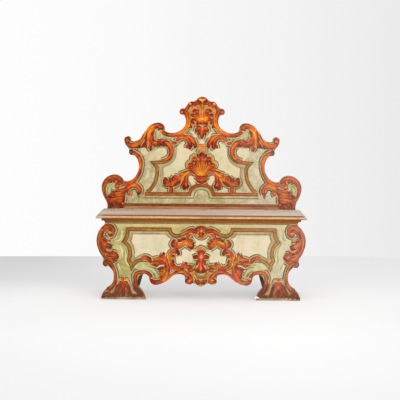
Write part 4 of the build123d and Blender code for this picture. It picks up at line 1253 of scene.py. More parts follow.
# End boards' panels: the same painted frame as the front, laid out plainly and
# with eared corners, since the ends face the room less.
for side, face_x in end_faces.items():
    board = side + "_end_board"
    low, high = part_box(board)
    turn = -1 if face_x < 0 else 1
    margin, head, deepest_ear = 46, 476, 34
    near, far = sorted((turn * low.y * 1000, turn * high.y * 1000))
    near, far, foot = near + margin, far - margin, low.z * 1000 + margin
    middle = (near + far) / 2
    for part, paint, laid, inset, half_width in (
        ("_end_frame", frame_paint, frame_relief, 0, 13.5),
        ("_end_grey_band", greige, band_wash, 21, 10),
        ("_end_olive_line", olive, ruled_line, 33, 3),
    ):
        x0, x1, z0, z1 = near + inset, far - inset, foot + inset, head - inset
        ear = deepest_ear - inset * 0.4
        hollow = ear * 0.7
        outline = [
            (middle, z0), (x0 + ear, z0, True), (x0 + ear, z0 + hollow), (x0, z0 + ear, True),
            (x0, z1 - ear, True), (x0 + hollow, z1 - ear), (x0 + ear, z1, True),
            (x1 - ear, z1, True), (x1 - hollow, z1 - ear), (x1, z1 - ear, True),
            (x1, z0 + ear, True), (x1 - ear, z0 + hollow), (x1 - ear, z0, True), (middle, z0),
        ]
        ring = [bent(outline, half_width, 0.42)]
        brushed(side + part, board, ring, paint, **laid, slot="painted_ends")


# Backrest's frames: a red-brown band over the seat, an ochre S-frame with its
# cusp, the grey band and olive line inside it, and stripes along the seat.
back_frame = both_sides([
    bent([(-382, 694), (-354, 717), (-332, 752), (-317, 790), (-311, 830), (-313, 865), (-340, 899, True),
        (-302, 902), (-268, 907), (-238, 920), (-218, 945), (-209, 980), (-213, 1012)], 13.5, 0.42),
])
brushed("back_frame", "backrest_board", back_frame, frame_paint, **frame_relief)
back_red = both_sides([
    bent([(-397, 681), (-84, 681, True), (-76, 704), (-62, 724), (-38, 739), (0, 744)], 12.5, 0.3),
])
red_frame_paint = leaf_paint(
    "red_brown_frame_tempera",
    frame_steps,
    ("7A3E14", "A46026", "BC7838", "CC9050", "DAAA70"),
    ("7A3416", "A45228", "BC6A3A", "CE8452", "DAA274"),
    "7C3E1A",
    0.56,
)
brushed("back_red_frame", "backrest_board", back_red, red_frame_paint, **frame_relief)
back_grey = both_sides([
    bent([(-300, 704), (-285, 740), (-279, 790), (-280, 840), (-286, 872, True), (-240, 892), (-205, 916),
        (-188, 950), (-188, 1004)], 10),
])
brushed("back_grey_band", "backrest_board", back_grey, greige, **band_wash)
back_lines = both_sides([
    bent([(-268, 802), (-270, 866, True), (-235, 882), (-203, 907), (-182, 945), (-178, 1003),
        (-168, 1022)], 2.6),
    bent([(-400, 653), (-55, 653, True), (-48, 688), (-30, 708), (0, 716)], 4),
    bent([(-447, 990), (-425, 965), (-412, 930), (-406, 895), (-410, 860), (-420, 825),
        (-436, 792)], 2.6),
])
brushed("back_olive_lines", "backrest_board", back_lines, olive, **ruled_line)
stripe = [bent([(-548, 604), (0, 604), (548, 604)], 9.5, 0.04)]
brushed("back_red_stripe", "backrest_board", stripe, red_frame_paint, coat=0.5, flowing=False)
skirting = one_coat("brown_skirting_tempera", "946240", "A87854", "B48C6A", 40, 0.5, (0.3, 1, 1))
skirt = [bent([(-575, 584), (0, 584), (575, 584)], 11)]
brushed("back_tan_stripe", "backrest_board", skirt, skirting, coat=0.4, flowing=False)


# Backrest's ornament: volutes at the seat, scrolled shoulders with acanthus,
# the shell in the middle with its arms, and the crest. Painted as on the front.
back_half = [
    # volute at the seat: its dark base, folded leaf and eyes
    (0.2, (-606, 600, 6, 0.14), (-632, 592, 9, 0.0), (-656, 583, 6, 0.06)),
    (0.3, (-546, 601, 6, 0.24), (-566, 600, 10, 0.06), (-584, 596, 8, 0.12), (-600, 590, 5, 0.24)),
    (0.35, (-546, 589, 4, 0.1), (-562, 587, 6, -0.06), (-576, 585, 3, -0.04)),
    (0.5, (-554, 632, 8, 0.3), (-578, 630, 12, 0.42), (-600, 624, 10, 0.16), (-612, 611, 8, 0.14),
        (-620, 597, 5, 0.0)),
    (0.7, (-546, 650, 8, 0.26), (-575, 648, 13, 0.46), (-604, 642, 12, 0.48), (-630, 633, 12, 0.32),
        (-645, 616, 8, 0.16), (-641, 598, 5, 0.0)),
    (0.8, (-546, 670, 7, 0.3), (-572, 668, 12, 0.38), (-598, 664, 10, 0.3), (-612, 656, 5, 0.1)),
    (0.9, (-572, 658, 2, 0.12), (-598, 656, 4, 0.04), (-626, 653, 7, 0.1), (-650, 662, 6, 0.02)),
    (0.95, (-612, 645, 5, 0.3), (-640, 642, 10, 0.16), (-662, 647, 10, 0.24), (-676, 660, 6, 0.3)),
    (0.97, (-640, 634, 3, 0.1), (-658, 636, 6, 0.02), (-668, 628, 5, 0.0), (-654, 614, 4, 0.02)),
    (1.0, (-632, 618, 3, 0.06), (-628, 606, 5, 0.0), (-622, 595, 4, 0.0)),
    (1.2, (-626, 668, 3, 0.7), (-621, 662, 5, 0.74), (-616, 658, 2, 0.6)),
    (1.2, (-556, 618, 2, 0.6), (-551, 612, 5, 0.72), (-549, 605, 2, 0.6)),
    (1.0, (-544, 694, 6, 0.36), (-570, 687, 9, 0.54), (-598, 682, 9, 0.42), (-613, 672, 5, 0.12)),
    (0.9, (-543, 664, 3, -0.1), (-541, 642, 4, -0.1), (-545, 622, 3, -0.1)),
    (1.1, (-608, 697, 4, 0.06), (-582, 699, 6, 0.1), (-556, 704, 5, 0.16)),
    *eye(-622, 683, 14, 0.08, 0.34, 1.4),
    (0.8, (-556, 772, 8, 0.3), (-572, 757, 13, 0.36), (-584, 745, 11, 0.45)),
    *eye(-590, 737, 19, 0.3, 0.64, 1.6),
    (1.2, (-640, 585, 9, 0.04), (-655, 612, 13, 0.1), (-674, 645, 15, 0.14), (-687, 690, 15, 0.16),
        (-686, 730, 15, 0.18), (-670, 766, 16, 0.22), (-642, 790, 18, 0.22), (-606, 796, 18, 0.36),
        (-576, 783, 18, 0.22), (-552, 766, 12, 0.22)),
    (1.4, (-656, 776, 6, 0.3), (-644, 768, 11, 0.12), (-630, 760, 5, 0.0)),
    (1.4, (-626, 788, 6, 0.36), (-616, 772, 9, 0.06), (-610, 760, 4, -0.04)),
    (1.5, (-599, 780, 2, 0.8), (-597, 768, 4), (-594, 758, 2)),
    (1.8, (-684, 672, 2, 0.34), (-686, 705, 4), (-683, 738, 4), (-670, 765, 4), (-652, 785, 3)),
    # leaf over the seat, and the stem that rises to the shoulder
    (0.5, (-520, 704, 6, 0.4), (-508, 688, 11, 0.5), (-514, 670, 4, 0.35)),
    (1.0, (-604, 700, 8, 0.2), (-570, 702, 12, 0.4), (-535, 708, 14, 0.36), (-505, 728, 15, 0.55),
        (-475, 742, 16, 0.6), (-448, 732, 15, 0.55), (-432, 708, 13, 0.42), (-436, 682, 9, 0.12)),
    boss(-441, 681, 12, 0.0, 1.6),
    boss(-530, 711, 12, 0.22, 2.0),
    (0.9, (-560, 745, 6, 0.3), (-530, 752, 13, 0.34), (-500, 758, 15, 0.42), (-472, 778, 16, 0.42),
        (-450, 808, 15, 0.28), (-437, 840, 15, 0.36), (-430, 880, 15, 0.52), (-431, 915, 15, 0.5),
        (-444, 940, 15, 0.4), (-462, 956, 15, 0.36), (-480, 968, 14, 0.46), (-498, 972, 12, 0.2)),
    *eye(-497, 972, 17, 0.02, 0.14, 1.5),
    # shoulder scroll and its acanthus
    (0.4, (-474, 1016, 9, 0.2), (-450, 1012, 11, 0.08), (-434, 1002, 4, -0.04)),
    (0.6, (-442, 1036, 6, 0.3), (-424, 1022, 11, 0.1), (-416, 1004, 4, -0.04)),
    (0.6, (-414, 1062, 5, 0.3), (-400, 1036, 12, 0.14), (-394, 1008, 4, -0.04)),
    (0.5, (-318, 1048, 6, 0.34), (-300, 1034, 12, 0.14), (-286, 1014, 5, -0.04)),
    (0.6, (-296, 1050, 6, 0.3), (-277, 1036, 11, 0.12), (-264, 1018, 4, -0.04)),
    (0.7, (-268, 1056, 6, 0.26), (-254, 1042, 10, 0.14), (-244, 1028, 4, 0.0)),
    (0.6, (-342, 1108, 5, 0.16), (-352, 1080, 13, 0.4), (-344, 1052, 15, 0.5), (-322, 1038, 14, 0.38),
        (-302, 1036, 7, 0.2)),
    (0.8, (-306, 1058, 5, 0.16), (-272, 1056, 9, 0.3), (-242, 1042, 14, 0.5), (-221, 1012, 15, 0.5),
        (-213, 980, 14, 0.46), (-222, 948, 11, 0.5), (-245, 925, 9, 0.55), (-282, 914, 7, 0.5)),
    (1.0, (-322, 1146, 8, 0.6), (-350, 1134, 14, 0.72), (-368, 1105, 16, 0.7), (-376, 1070, 17, 0.58),
        (-374, 1035, 16, 0.5), (-362, 1008, 13, 0.42), (-352, 983, 7, 0.2)),
    (1.2, (-508, 1072, 7, 0.16), (-520, 1066, 11, 0.16), (-528, 1050, 12, 0.16), (-518, 1030, 14, 0.28),
        (-494, 1020, 16, 0.4), (-464, 1026, 17, 0.5), (-438, 1044, 16, 0.6), (-418, 1072, 16, 0.66),
        (-402, 1104, 17, 0.68), (-380, 1134, 18, 0.66), (-348, 1154, 19, 0.6), (-312, 1161, 19, 0.38),
        (-285, 1152, 15, 0.24), (-276, 1140, 8, 0.18)),
    *eye(-520, 1056, 21, 0.1, 0.5, 1.8),
    boss(-284, 1148, 19, 0.2, 2.0),
    boss(-286, 1124, 12, 0.95, 0.8),
    (0.4, (-208, 1044, 5, 0.16), (-191, 1038, 10, 0.26), (-176, 1042, 4, 0.14)),
    # band that climbs to the crest, with its light inner edge
    (1.0, (-278, 1122, 6, 0.3), (-262, 1106, 12, 0.2), (-226, 1096, 14, 0.24), (-185, 1100, 16, 0.46),
        (-152, 1113, 17, 0.58), (-126, 1135, 17, 0.56), (-106, 1166, 16, 0.54), (-98, 1200, 15, 0.5),
        (-102, 1232, 14, 0.42), (-116, 1254, 14, 0.34), (-140, 1262, 12, 0.2)),
    (1.2, (-158, 1098, 3, 0.72), (-120, 1120, 6), (-94, 1160, 6), (-86, 1205, 5), (-89, 1250, 3)),
    *eye(-141, 1258, 20, 0.14, 0.36, 1.6),
    # leaves under the crest
    (0.6, (-176, 1052, 6, 0.25), (-160, 1072, 12, 0.46), (-130, 1082, 14, 0.5), (-102, 1070, 14, 0.36),
        (-86, 1042, 14, 0.16), (-80, 1014, 11, 0.08), (-90, 995, 4, -0.04)),
    (0.8, (-106, 1088, 6, 0.5), (-78, 1078, 12, 0.58), (-58, 1050, 13, 0.34), (-46, 1022, 11, 0.12),
        (-50, 1002, 4, -0.04)),
    (0.5, (-92, 1030, 5, 0.3), (-104, 1014, 9, 0.16), (-106, 1002, 4, 0.04)),
    (0.6, (-46, 1032, 5, 0.55), (-22, 1024, 8, 0.72), (2, 1022, 9, 0.78)),
    # crest
    (0.8, (-112, 1262, 8, 0.28), (-104, 1282, 11, 0.24), (-94, 1297, 11, 0.12), (-80, 1301, 9, 0.34),
        (-64, 1299, 6, 0.46)),
    (1.2, (-94, 1311, 3, 0.92), (-85, 1313, 8), (-76, 1311, 4)),
    (1.4, (-97, 1312, 2, 0.04), (-90, 1322, 3), (-78, 1326, 3), (-68, 1324, 2)),
    (1.3, (-70, 1326, 4, 0.0), (-63, 1317, 9, 0.1), (-53, 1308, 8, 0.34), (-40, 1303, 5, 0.06)),
    (1.4, (-52, 1320, 5, 0.2), (-38, 1319, 10, 0.26), (-24, 1317, 9, 0.12), (-10, 1313, 6, 0.06)),
    (1.2, (-42, 1334, 5, 0.06), (-32, 1348, 7, 0.2), (-14, 1355, 7, 0.3), (2, 1357, 7, 0.34)),
    (1.8, (-41, 1334, 4, 0.0), (-31, 1333, 6), (-19, 1329, 5), (-9, 1320, 3)),
    (0.8, (-83, 1236, 2, 0.8), (-79, 1260, 2.5), (-68, 1277, 3), (-46, 1286, 3.5), (-26, 1281, 3),
        (-12, 1266, 2.5), (-4, 1248, 2)),
    (0.8, (-64, 1252, 2, 0.0), (-57, 1266, 5), (-46, 1274, 3)),
    (1.0, (-42, 1250, 5, 0.16), (-28, 1238, 8, 0.36), (-14, 1224, 6, 0.6)),
    boss(-36, 1258, 15, 0.18, 1.2),
    (0.9, (-32, 1222, 6, 0.54), (-49, 1226, 12, 0.4), (-64, 1232, 11, 0.04), (-75, 1241, 4, -0.06)),
    (0.8, (-30, 1204, 6, 0.5), (-47, 1206, 11, 0.34), (-62, 1207, 8, 0.04), (-73, 1203, 3, -0.06)),
    (1.1, (-75, 1217, 2, 0.9), (-67, 1215, 3), (-58, 1216, 2)),
    (0.7, (-95, 1198, 5, 0.4), (-80, 1191, 9, 0.1), (-66, 1184, 8, 0.06), (-53, 1176, 5, -0.04)),
    (0.7, (-97, 1178, 5, 0.46), (-88, 1162, 11, 0.26), (-78, 1152, 9, 0.14), (-69, 1146, 4, -0.04)),
    (0.9, (-58, 1190, 2, 0.8), (-47, 1184, 3), (-40, 1177, 2)),
    (0.8, (-6, 1190, 6, 0.45), (-20, 1184, 10, 0.26), (-32, 1176, 8, -0.02), (-38, 1168, 3, -0.06)),
    (1.3, (-40, 1158, 2, 0.16), (-27, 1157, 4), (-14, 1153, 2)),
    (0.8, (-6, 1148, 6, 0.45), (-25, 1142, 12, 0.5), (-38, 1129, 10, 0.14), (-42, 1115, 3, 0.02)),
    (0.7, (-5, 1126, 6, 0.4), (-20, 1111, 10, 0.24), (-28, 1095, 3, 0.06)),
    # shell: lobes with light edges, and its base
    *eye(-50, 926, 19, 0.2, 0.34, 2.0),
    *eye(-80, 886, 17, 0.24, 0.42, 1.6),
    boss(-85, 852, 14, 0.34, 1.4),
    rim_of(-50, 926, 22, 125, 0.86, 1.8),
    rim_of(-80, 886, 20, 155, 0.84, 1.6),
    (1.4, (-46, 812, 6, 0.34), (-25, 801, 10, 0.14), (2, 797, 11, 0.1)),
    boss(-24, 786, 12, 0.4, 1.6),
    # the shell's arms: stem, leaves and lobes
    (0.4, (-100, 822, 7, 0.42), (-108, 790, 13, 0.34), (-114, 758, 18, 0.24), (-118, 731, 18, 0.2),
        (-121, 711, 6, 0.06)),
    (0.3, (-114, 772, 6, 0.3), (-134, 753, 11, 0.3), (-141, 735, 4, 0.12)),
    (0.3, (-108, 754, 6, 0.25), (-96, 738, 10, 0.14), (-98, 722, 4, 0.02)),
    (1.4, (-128, 820, 5, 0.55), (-140, 824, 9, 0.48), (-157, 815, 4, 0.3)),
    (1.4, (-160, 790, 6, 0.48), (-182, 799, 13, 0.24), (-200, 807, 6, 0.1)),
    (1.4, (-192, 768, 6, 0.44), (-212, 778, 10, 0.24), (-227, 791, 4, 0.06)),
    (1.4, (-226, 762, 6, 0.36), (-250, 778, 12, 0.12), (-256, 799, 5, 0.0)),
    (1.4, (-140, 806, 6, 0.5), (-158, 782, 11, 0.45), (-177, 765, 5, 0.25)),
    (1.4, (-186, 770, 6, 0.44), (-206, 748, 12, 0.36), (-227, 739, 5, 0.12)),
    (1.4, (-216, 756, 6, 0.4), (-244, 744, 12, 0.32), (-265, 748, 5, 0.1)),
    (0.3, (-214, 745, 8, 0.36), (-212, 720, 11, 0.34), (-212, 700, 12, 0.28), (-210, 690, 8, 0.16)),
    (1.0, (-56, 838, 7, 0.5), (-88, 838, 12, 0.5), (-120, 824, 13, 0.56), (-150, 798, 13, 0.54),
        (-180, 772, 13, 0.5), (-210, 756, 15, 0.4), (-236, 752, 16, 0.3), (-254, 762, 8, 0.1)),
    (1.4, (-62, 850, 2, 0.02), (-92, 843, 4), (-120, 834, 4), (-138, 819, 4), (-152, 806, 2)),
    (1.5, (-88, 832, 2, 0.86), (-112, 818, 4), (-134, 799, 4), (-150, 782, 4), (-166, 766, 2)),
    (1.5, (-150, 774, 3, 0.02), (-164, 755, 5), (-184, 742, 5), (-202, 737, 2)),
    (1.6, (-255, 794, 4, 0.0), (-262, 776, 6), (-264, 758, 5), (-255, 743, 3)),
    (1.7, (-196, 805, 3, 0.0), (-205, 794, 5), (-206, 780, 5), (-198, 771, 3)),
    boss(-184, 788, 12, 0.16, 1.6),
    (1.2, (-110, 768, 3, 0.3), (-117, 748, 9, 0.06), (-123, 726, 9, 0.0), (-129, 711, 4, -0.08)),
    (1.4, (-110, 760, 2, 0.84), (-108, 749, 4), (-105, 738, 2)),
    (1.4, (-96, 753, 3, -0.1), (-94, 736, 5), (-101, 719, 3)),
    (1.4, (-140, 784, 2, 0.86), (-141, 768, 4), (-148, 748, 2)),
]
back_centre = [
    # crest: peach cap, gold heart and pendant leaf
    (1.6, (-23, 1345, 3, 0.97), (-11, 1341, 7), (0, 1337, 9), (11, 1341, 7), (25, 1345, 3)),
    (1.7, (0, 1338, 6, 0.97), (0, 1329, 4), (0, 1321, 2)),
    (1.4, (0, 1318, 7, 0.14), (0, 1303, 12, 0.4), (0, 1290, 8, 0.56), (0, 1276, 4, 0.5)),
    (1.2, (0, 1270, 2, 0.8), (0, 1252, 4, 0.9), (0, 1234, 5, 0.9)),
    *fan(0, 1186, 26, 154, (46, 54, 58, 60, 58, 54, 46), 11, 0.8, 0.9, 0.62),
    boss(0, 1210, 13, 0.96, 2.0),
    (0.9, (0, 1204, 10, 0.6), (0, 1186, 17, 0.4), (0, 1170, 13, 0.12)),
    (1.2, (0, 1150, 9, 0.42), (0, 1134, 16, 0.56), (0, 1112, 17, 0.26), (0, 1086, 11, 0.2),
        (0, 1068, 4, 0.12)),
    # shell: rays, gold cap and the lobe below it
    *fan(0, 800, 38, 142, (96, 112, 128, 136, 128, 112, 96), 15, 0.7, 0.8, 0.16),
    *fan(0, 806, 46, 134, (70, 86, 98, 104, 106, 104, 98, 86, 70), 3.4, 0.86, 2.2, 0.62),
    rim_of(0, 964, 26, 90, 0.84, 1.6),
    rim_of(0, 970, 28, 90, 0.86, 1.2),
    (2.4, (0, 916, 8, 0.46), (0, 940, 17, 0.26), (0, 962, 15, 0.1), (0, 976, 6, 0.0)),
    (2.0, (-8, 930, 5, 0.4), (-24, 948, 10, 0.12), (-30, 962, 4, 0.0)),
    (2.0, (8, 930, 5, 0.4), (24, 948, 10, 0.12), (30, 962, 4, 0.0)),
    boss(0, 780, 13, 0.46, 1.8),
    (0.6, (-36, 778, 4, 0.1), (-20, 768, 5), (0, 764, 6), (20, 768, 5), (36, 778, 4)),
]
back_leaves = both_sides(back_half) + back_centre
field("back_undercoat", back_face, under_leaves, undercoat, mirrored([
    [(-648, 690), (-600, 708), (-545, 716), (-530, 690), (-540, 640), (-540, 582), (-600, 580),
        (-645, 584), (-656, 620), (-652, 660)],
    [(-470, 1024), (-430, 1054), (-398, 1112), (-350, 1150), (-326, 1122), (-344, 1080), (-330, 1050),
        (-290, 1056), (-250, 1054), (-214, 1030), (-206, 990), (-226, 1000), (-246, 1020), (-290, 1016),
        (-320, 1012), (-345, 1018), (-355, 986), (-372, 1000), (-395, 1006), (-440, 1004)],
]) + [
    [(0, 984), (-24, 972), (-34, 946), (-66, 940), (-72, 912), (-98, 892), (-98, 850), (-64, 826),
        (-40, 806), (-36, 782), (0, 768), (36, 782), (40, 806), (64, 826), (98, 850), (98, 892),
        (72, 912), (66, 940), (34, 946), (24, 972)],
])
brushed("back_olive_contour", "backrest_board", back_leaves, contour, **contour_wash)
brushed("back_pale_halo", "backrest_board", back_leaves, halo, **halo_wash)
# Pockets as on the front, and an orange wash under the crest.
pocket = one_coat("green_pocket_tempera", "9C9862", "B8B482", "D0CCA0", 30)
field("back_green_pockets", back_face, pocket_coat, pocket, mirrored([
    [(-666, 700), (-660, 732), (-640, 750), (-618, 754), (-612, 742), (-624, 728), (-632, 710),
        (-636, 690), (-650, 674), (-662, 682)],
    [(-322, 1136), (-330, 1112), (-326, 1085), (-310, 1070), (-280, 1068), (-240, 1063), (-205, 1064),
        (-190, 1074), (-210, 1080), (-240, 1080), (-272, 1092), (-292, 1108), (-306, 1128)],
    [(-292, 740), (-264, 724), (-240, 712), (-288, 706)],
]))
field("back_cream_pockets", back_face, pocket_coat, cream, mirrored([
    [(-90, 800), (-76, 812), (-60, 800), (-52, 776), (-44, 756), (-66, 744), (-84, 768)],
    [(-72, 1122), (-56, 1112), (-42, 1090), (-34, 1076), (-48, 1080), (-66, 1100)],
]) + [
    [(0, 1064), (-15, 1050), (-17, 1040), (0, 1035), (17, 1040), (15, 1050)],
])
wash = one_coat("orange_wash_tempera", "A66A36", "BE8450", "D6A678", 22, 0.5)
field("back_crest_wash", back_face, over_pocket, wash, [
    [(0, 1312), (-40, 1306), (-72, 1296), (-86, 1268), (-88, 1230), (-90, 1196), (-84, 1150), (-60, 1150),
        (-40, 1162), (0, 1158), (40, 1162), (60, 1150), (84, 1150), (90, 1196), (88, 1230), (86, 1268),
        (72, 1296), (40, 1306)],
])
back_pocket_lines = both_sides([
    (0.0, (-318, 1126, 2), (-324, 1104, 3), (-318, 1084, 3), (-298, 1075, 2)),
    (0.0, (-270, 1076, 2), (-240, 1070, 3), (-208, 1068, 2)),
    (0.0, (-658, 690, 2), (-656, 714, 3), (-644, 736, 3), (-624, 744, 2)),
    (0.0, (-640, 694, 2), (-632, 714, 3), (-622, 730, 2)),
])
brushed("back_pocket_lines", "backrest_board", back_pocket_lines, olive, pocket_line)
brushed("back_umber_contour", "backrest_board", back_leaves, umber, **umber_wash)
# The back's leaves kept their first colour, more orange and brighter than the front's.
acanthus = leaf_paint(
    "vermilion_acanthus_tempera",
    (0.0, 0.18, 0.36, 0.52, 0.68, 0.84, 1.0),
    ("66290E", "934214", "B35417", "C86414", "DA7612", "E58E16", "EDAE3C"),
    ("6C1D16", "9A2F1D", "B83F23", "CA5124", "D86820", "E38420", "EDAA46"),
    "7C3416",
)
brushed("back_acanthus", "backrest_board", back_leaves, acanthus, **leaf_relief)
back_shadows = [
    # volute at the seat
    (0.0, (-628, 694, 3), (-622, 688, 6), (-616, 674, 5), (-610, 668, 2)),
    (0.0, (-660, 664, 2), (-644, 659, 4), (-620, 653, 4), (-596, 657, 3), (-574, 658, 1)),
    (0.0, (-602, 697, 4), (-588, 696, 3), (-566, 699, 1)),
    (0.0, (-672, 633, 2), (-663, 626, 4), (-652, 616, 2)),
    (0.0, (-631, 620, 2), (-628, 610, 4), (-621, 599, 5), (-612, 592, 2)),
    (0.0, (-648, 608, 2), (-640, 602, 6), (-630, 594, 4)),
    (0.0, (-652, 581, 2), (-640, 581, 5), (-628, 579, 2)),
    (0.0, (-608, 628, 2), (-602, 619, 4), (-592, 612, 4), (-586, 606, 1)),
    (0.0, (-582, 603, 2), (-568, 601, 6), (-554, 599, 4), (-544, 598, 1)),
    (0.0, (-574, 587, 2), (-561, 586, 4), (-548, 588, 2)),
    (0.0, (-545, 660, 2), (-543, 646, 4), (-546, 632, 4), (-556, 629, 2)),
    # shoulder: the crook's rim, grooves and lobes
    (1.6, (-352, 1163, 1), (-325, 1171, 3), (-300, 1173, 4), (-281, 1165, 4), (-270, 1150, 3),
        (-268, 1134, 1)),
    (1.6, (-398, 1122, 1), (-408, 1096, 3), (-418, 1070, 3), (-434, 1048, 2), (-452, 1036, 1)),
    (1.6, (-380, 1128, 1), (-386, 1104, 3), (-388, 1080, 3), (-388, 1056, 3), (-392, 1040, 1)),
    (1.2, (-345, 1118, 1), (-350, 1104, 4), (-346, 1094, 4), (-352, 1084, 2)),
    (0.8, (-392, 1054, 1), (-394, 1038, 4), (-403, 1030, 3)),
    (0.8, (-398, 1018, 1), (-402, 1011, 4), (-410, 1006, 2)),
    (1.2, (-440, 1022, 1), (-439, 1012, 4), (-448, 1001, 2)),
    (1.2, (-506, 1007, 1), (-492, 1003, 3), (-470, 1005, 3), (-452, 1001, 1)),
    (1.2, (-356, 1072, 1), (-348, 1064, 3), (-340, 1052, 4), (-332, 1044, 1)),
    (2.4, (-514, 1082, 2), (-507, 1070, 4), (-505, 1054, 4), (-510, 1040, 2)),
    (1.2, (-362, 1030, 1), (-362, 1016, 3), (-359, 996, 3), (-355, 985, 1)),
    (1.2, (-310, 1050, 1), (-308, 1036, 3), (-302, 1020, 3), (-296, 1010, 1)),
    (1.2, (-276, 1049, 2), (-255, 1051, 4), (-235, 1049, 3), (-226, 1042, 1)),
    (1.2, (-281, 1026, 1), (-272, 1017, 4), (-262, 1015, 3), (-252, 1021, 3), (-240, 1014, 3),
        (-232, 1009, 1)),
    (1.2, (-223, 1002, 1), (-225, 985, 3), (-223, 965, 3), (-227, 945, 1)),
    (1.2, (-302, 1142, 2), (-300, 1131, 4), (-302, 1123, 2)),
    (1.6, (-332, 1151, 1), (-316, 1148, 3), (-304, 1151, 2)),
    (2.4, (-512, 976, 2), (-504, 968, 5), (-500, 959, 4), (-493, 955, 2)),
    (2.4, (-507, 986, 1), (-498, 988, 4), (-487, 986, 2)),
]
shoulder_gaps = both_sides([
    (0.0, (-400, 1066, 1), (-404, 1053, 4), (-412, 1040, 4), (-420, 1028, 3), (-425, 1016, 2)),
    (0.0, (-378, 1034, 1), (-377, 1022, 4), (-379, 1010, 3), (-380, 1000, 2)),
    (0.0, (-285, 1019, 1), (-287, 1010, 4), (-288, 1001, 2)),
    (0.0, (-280, 1061, 1), (-278, 1053, 3), (-278, 1046, 1)),
    (0.0, (-257, 1013, 2), (-250, 1006, 4), (-246, 999, 2)),
])
brushed("back_shoulder_gaps", "backrest_board", shoulder_gaps, greige, coat=3.6)
back_shadow = 3.0
brushed("back_maroon_shadows", "backrest_board", back_shadows, maroon, back_shadow)
brushed("back_worn_shadows", "backrest_board", right_side(back_shadows), worn_maroon, back_shadow)


# Studio: a pale floor that ends in a white wall, soft light from above, left
# and right, and the camera in front, a little above the seat.
floor_mesh = bpy.data.meshes.new("studio_floor")
floor_corners = [(-30, -30, 0), (30, -30, 0), (30, 3.919, 0), (-30, 0.236, 0)]
floor_mesh.from_pydata(floor_corners, [], [(0, 1, 2, 3)])
floor = bpy.data.objects.new("studio_floor", floor_mesh)
bpy.context.scene.collection.objects.link(floor)
floor_paint, tree, shader = finish_of(
    "matt_studio_floor",
    **{
        "Roughness": 0.9,
        "Specular IOR Level": 0.1,
        "Emission Color": (1, 1, 1, 1),
        "Emission Strength": 0.4,
    },
)
place = add(tree, "ShaderNodeTexCoord").outputs["Object"]
split = add(tree, "ShaderNodeSeparateXYZ", {"Vector": place})
# The floor's greys are painted shade: darker towards the wall, most of all on the left, and darker towards
# the camera.
depth = add(tree, "ShaderNodeMapRange", {"Value": split.outputs["Y"], "From Min": -3.0, "From Max": 2.1})
left_painted_shade = [(0.0, "B8B8B8"), (0.3, "CBCBCB"), (0.55, "CECECE"), (0.72, "A8A8A8"), (1.0, "949494")]
right_painted_shade = [(0.0, "AEAEAE"), (0.3, "C5C5C5"), (0.55, "CCCCCC"), (0.72, "C2C2C2"), (1.0, "BCBCBC")]
left_shade = add(tree, "ShaderNodeValToRGB", {"Fac": depth}, left_painted_shade)
right_shade = add(tree, "ShaderNodeValToRGB", {"Fac": depth}, right_painted_shade)
width = add(tree, "ShaderNodeMapRange", {"Value": split.outputs["X"], "From Min": -1.5, "From Max": -0.5})
shade = add(tree, "ShaderNodeMix", {0: width, 6: left_shade, 7: right_shade}, data_type="RGBA")
# Painted light beside the bench thins the bench's shadow on the floor; further out to the sides it is painted
# a little darker.
aside = add(tree, "ShaderNodeMath", {0: split.outputs["X"]}, operation="ABSOLUTE")
painted_light_by_bench = add(
    tree,
    "ShaderNodeMapRange",
    {"Value": aside, "From Min": 0.5, "From Max": 1.3, "To Min": 1.08, "To Max": 0.97},
)
lit = add(tree, "ShaderNodeVectorMath", {0: shade, 3: painted_light_by_bench}, operation="SCALE")
fill(tree, shader, {"Base Color": lit})
# Far from the bench the floor runs out into plain white.
reach = add(tree, "ShaderNodeVectorMath", {0: place}, operation="LENGTH").outputs["Value"]
ring_out = add(tree, "ShaderNodeMapRange", {"Value": reach, "From Min": 2.5, "From Max": 3.5})
glow = add(tree, "ShaderNodeEmission", {"Color": linear("F6F6F6"), "Strength": 1.0})
seen_floor = add(tree, "ShaderNodeMixShader", {0: ring_out, 1: shader, 2: glow})
add(tree, "ShaderNodeOutputMaterial", {"Surface": seen_floor}, is_active_output=True)
floor_mesh.materials.append(floor_paint)

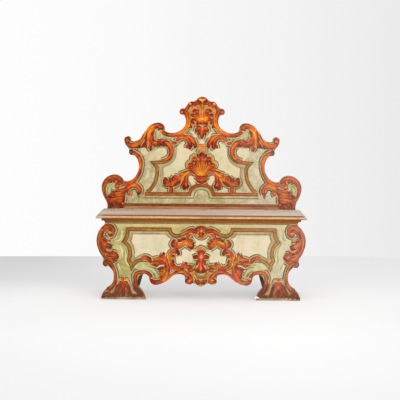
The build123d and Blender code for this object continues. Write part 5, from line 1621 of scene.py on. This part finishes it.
world = bpy.data.worlds.new("studio")
bpy.context.scene.world = world
world.use_nodes = True
tree = world.node_tree
tree.nodes.clear()
path = add(tree, "ShaderNodeLightPath").outputs
shown = add(
    tree, "ShaderNodeMath", {0: path["Is Camera Ray"], 1: path["Is Glossy Ray"]}, operation="MAXIMUM"
)
ambient = add(tree, "ShaderNodeBackground", {"Color": (1, 1, 1, 1), "Strength": 0.55})
# The wall is white with painted shade: a little greyer towards the right.
outlook = add(tree, "ShaderNodeTexCoord").outputs["Generated"]
bearing = add(tree, "ShaderNodeSeparateXYZ", {"Vector": outlook}).outputs["X"]
across_wall = add(tree, "ShaderNodeMapRange", {"Value": bearing, "From Min": -0.18, "From Max": 0.18})
wall_painted_shade = [
    (0.0, "F6F6F6"), (0.03, "FDFDFD"), (0.3, "FBFBFB"), (0.75, "F1F1F1"), (0.97, "EBEBEB"), (1.0, "F6F6F6"),
]
wall = add(tree, "ShaderNodeValToRGB", {"Fac": across_wall}, wall_painted_shade)
white = add(tree, "ShaderNodeBackground", {"Color": wall, "Strength": 1.0})
sky = add(tree, "ShaderNodeMixShader", {0: shown, 1: ambient, 2: white})
add(tree, "ShaderNodeOutputWorld", {"Surface": sky})

bench_middle = Vector((0, 0, 0.6))
for name, spot, size, watts in (
    ("soft_key", (2.8, -6.5, 3.0), 3.5, 236),
    ("soft_fill", (-3.2, -6.5, 2.4), 3.5, 64),
    ("soft_top", (0.0, -2.2, 5.0), 4.0, 34),
    ("soft_rear", (0.5, 5.0, 4.5), 3.5, 45),
):
    lamp = bpy.data.lights.new(name, "AREA")
    lamp.energy, lamp.size = watts, size
    light = bpy.data.objects.new(name, lamp)
    bpy.context.scene.collection.objects.link(light)
    light.location = spot
    light.rotation_mode = "QUATERNION"
    light.rotation_quaternion = (bench_middle - Vector(spot)).to_track_quat("-Z", "Y")

# The camera's distance and height follow from the seat's corners; it leans by half a degree.
lens = bpy.data.cameras.new("camera")
lens.sensor_width, lens.lens = 36.0, 106.3
camera = bpy.data.objects.new("camera", lens)
bpy.context.scene.collection.objects.link(camera)
camera.location = (0.0, -8.047, 1.316)
aim = Vector((-0.0097, -0.197, 0.6735)) - camera.location
camera.rotation_euler = aim.to_track_quat("-Z", "Y").to_euler()
camera.rotation_euler.rotate_axis("Z", math.radians(0.46))
bpy.context.scene.camera = camera
bpy.context.scene.view_settings.view_transform = "Standard"
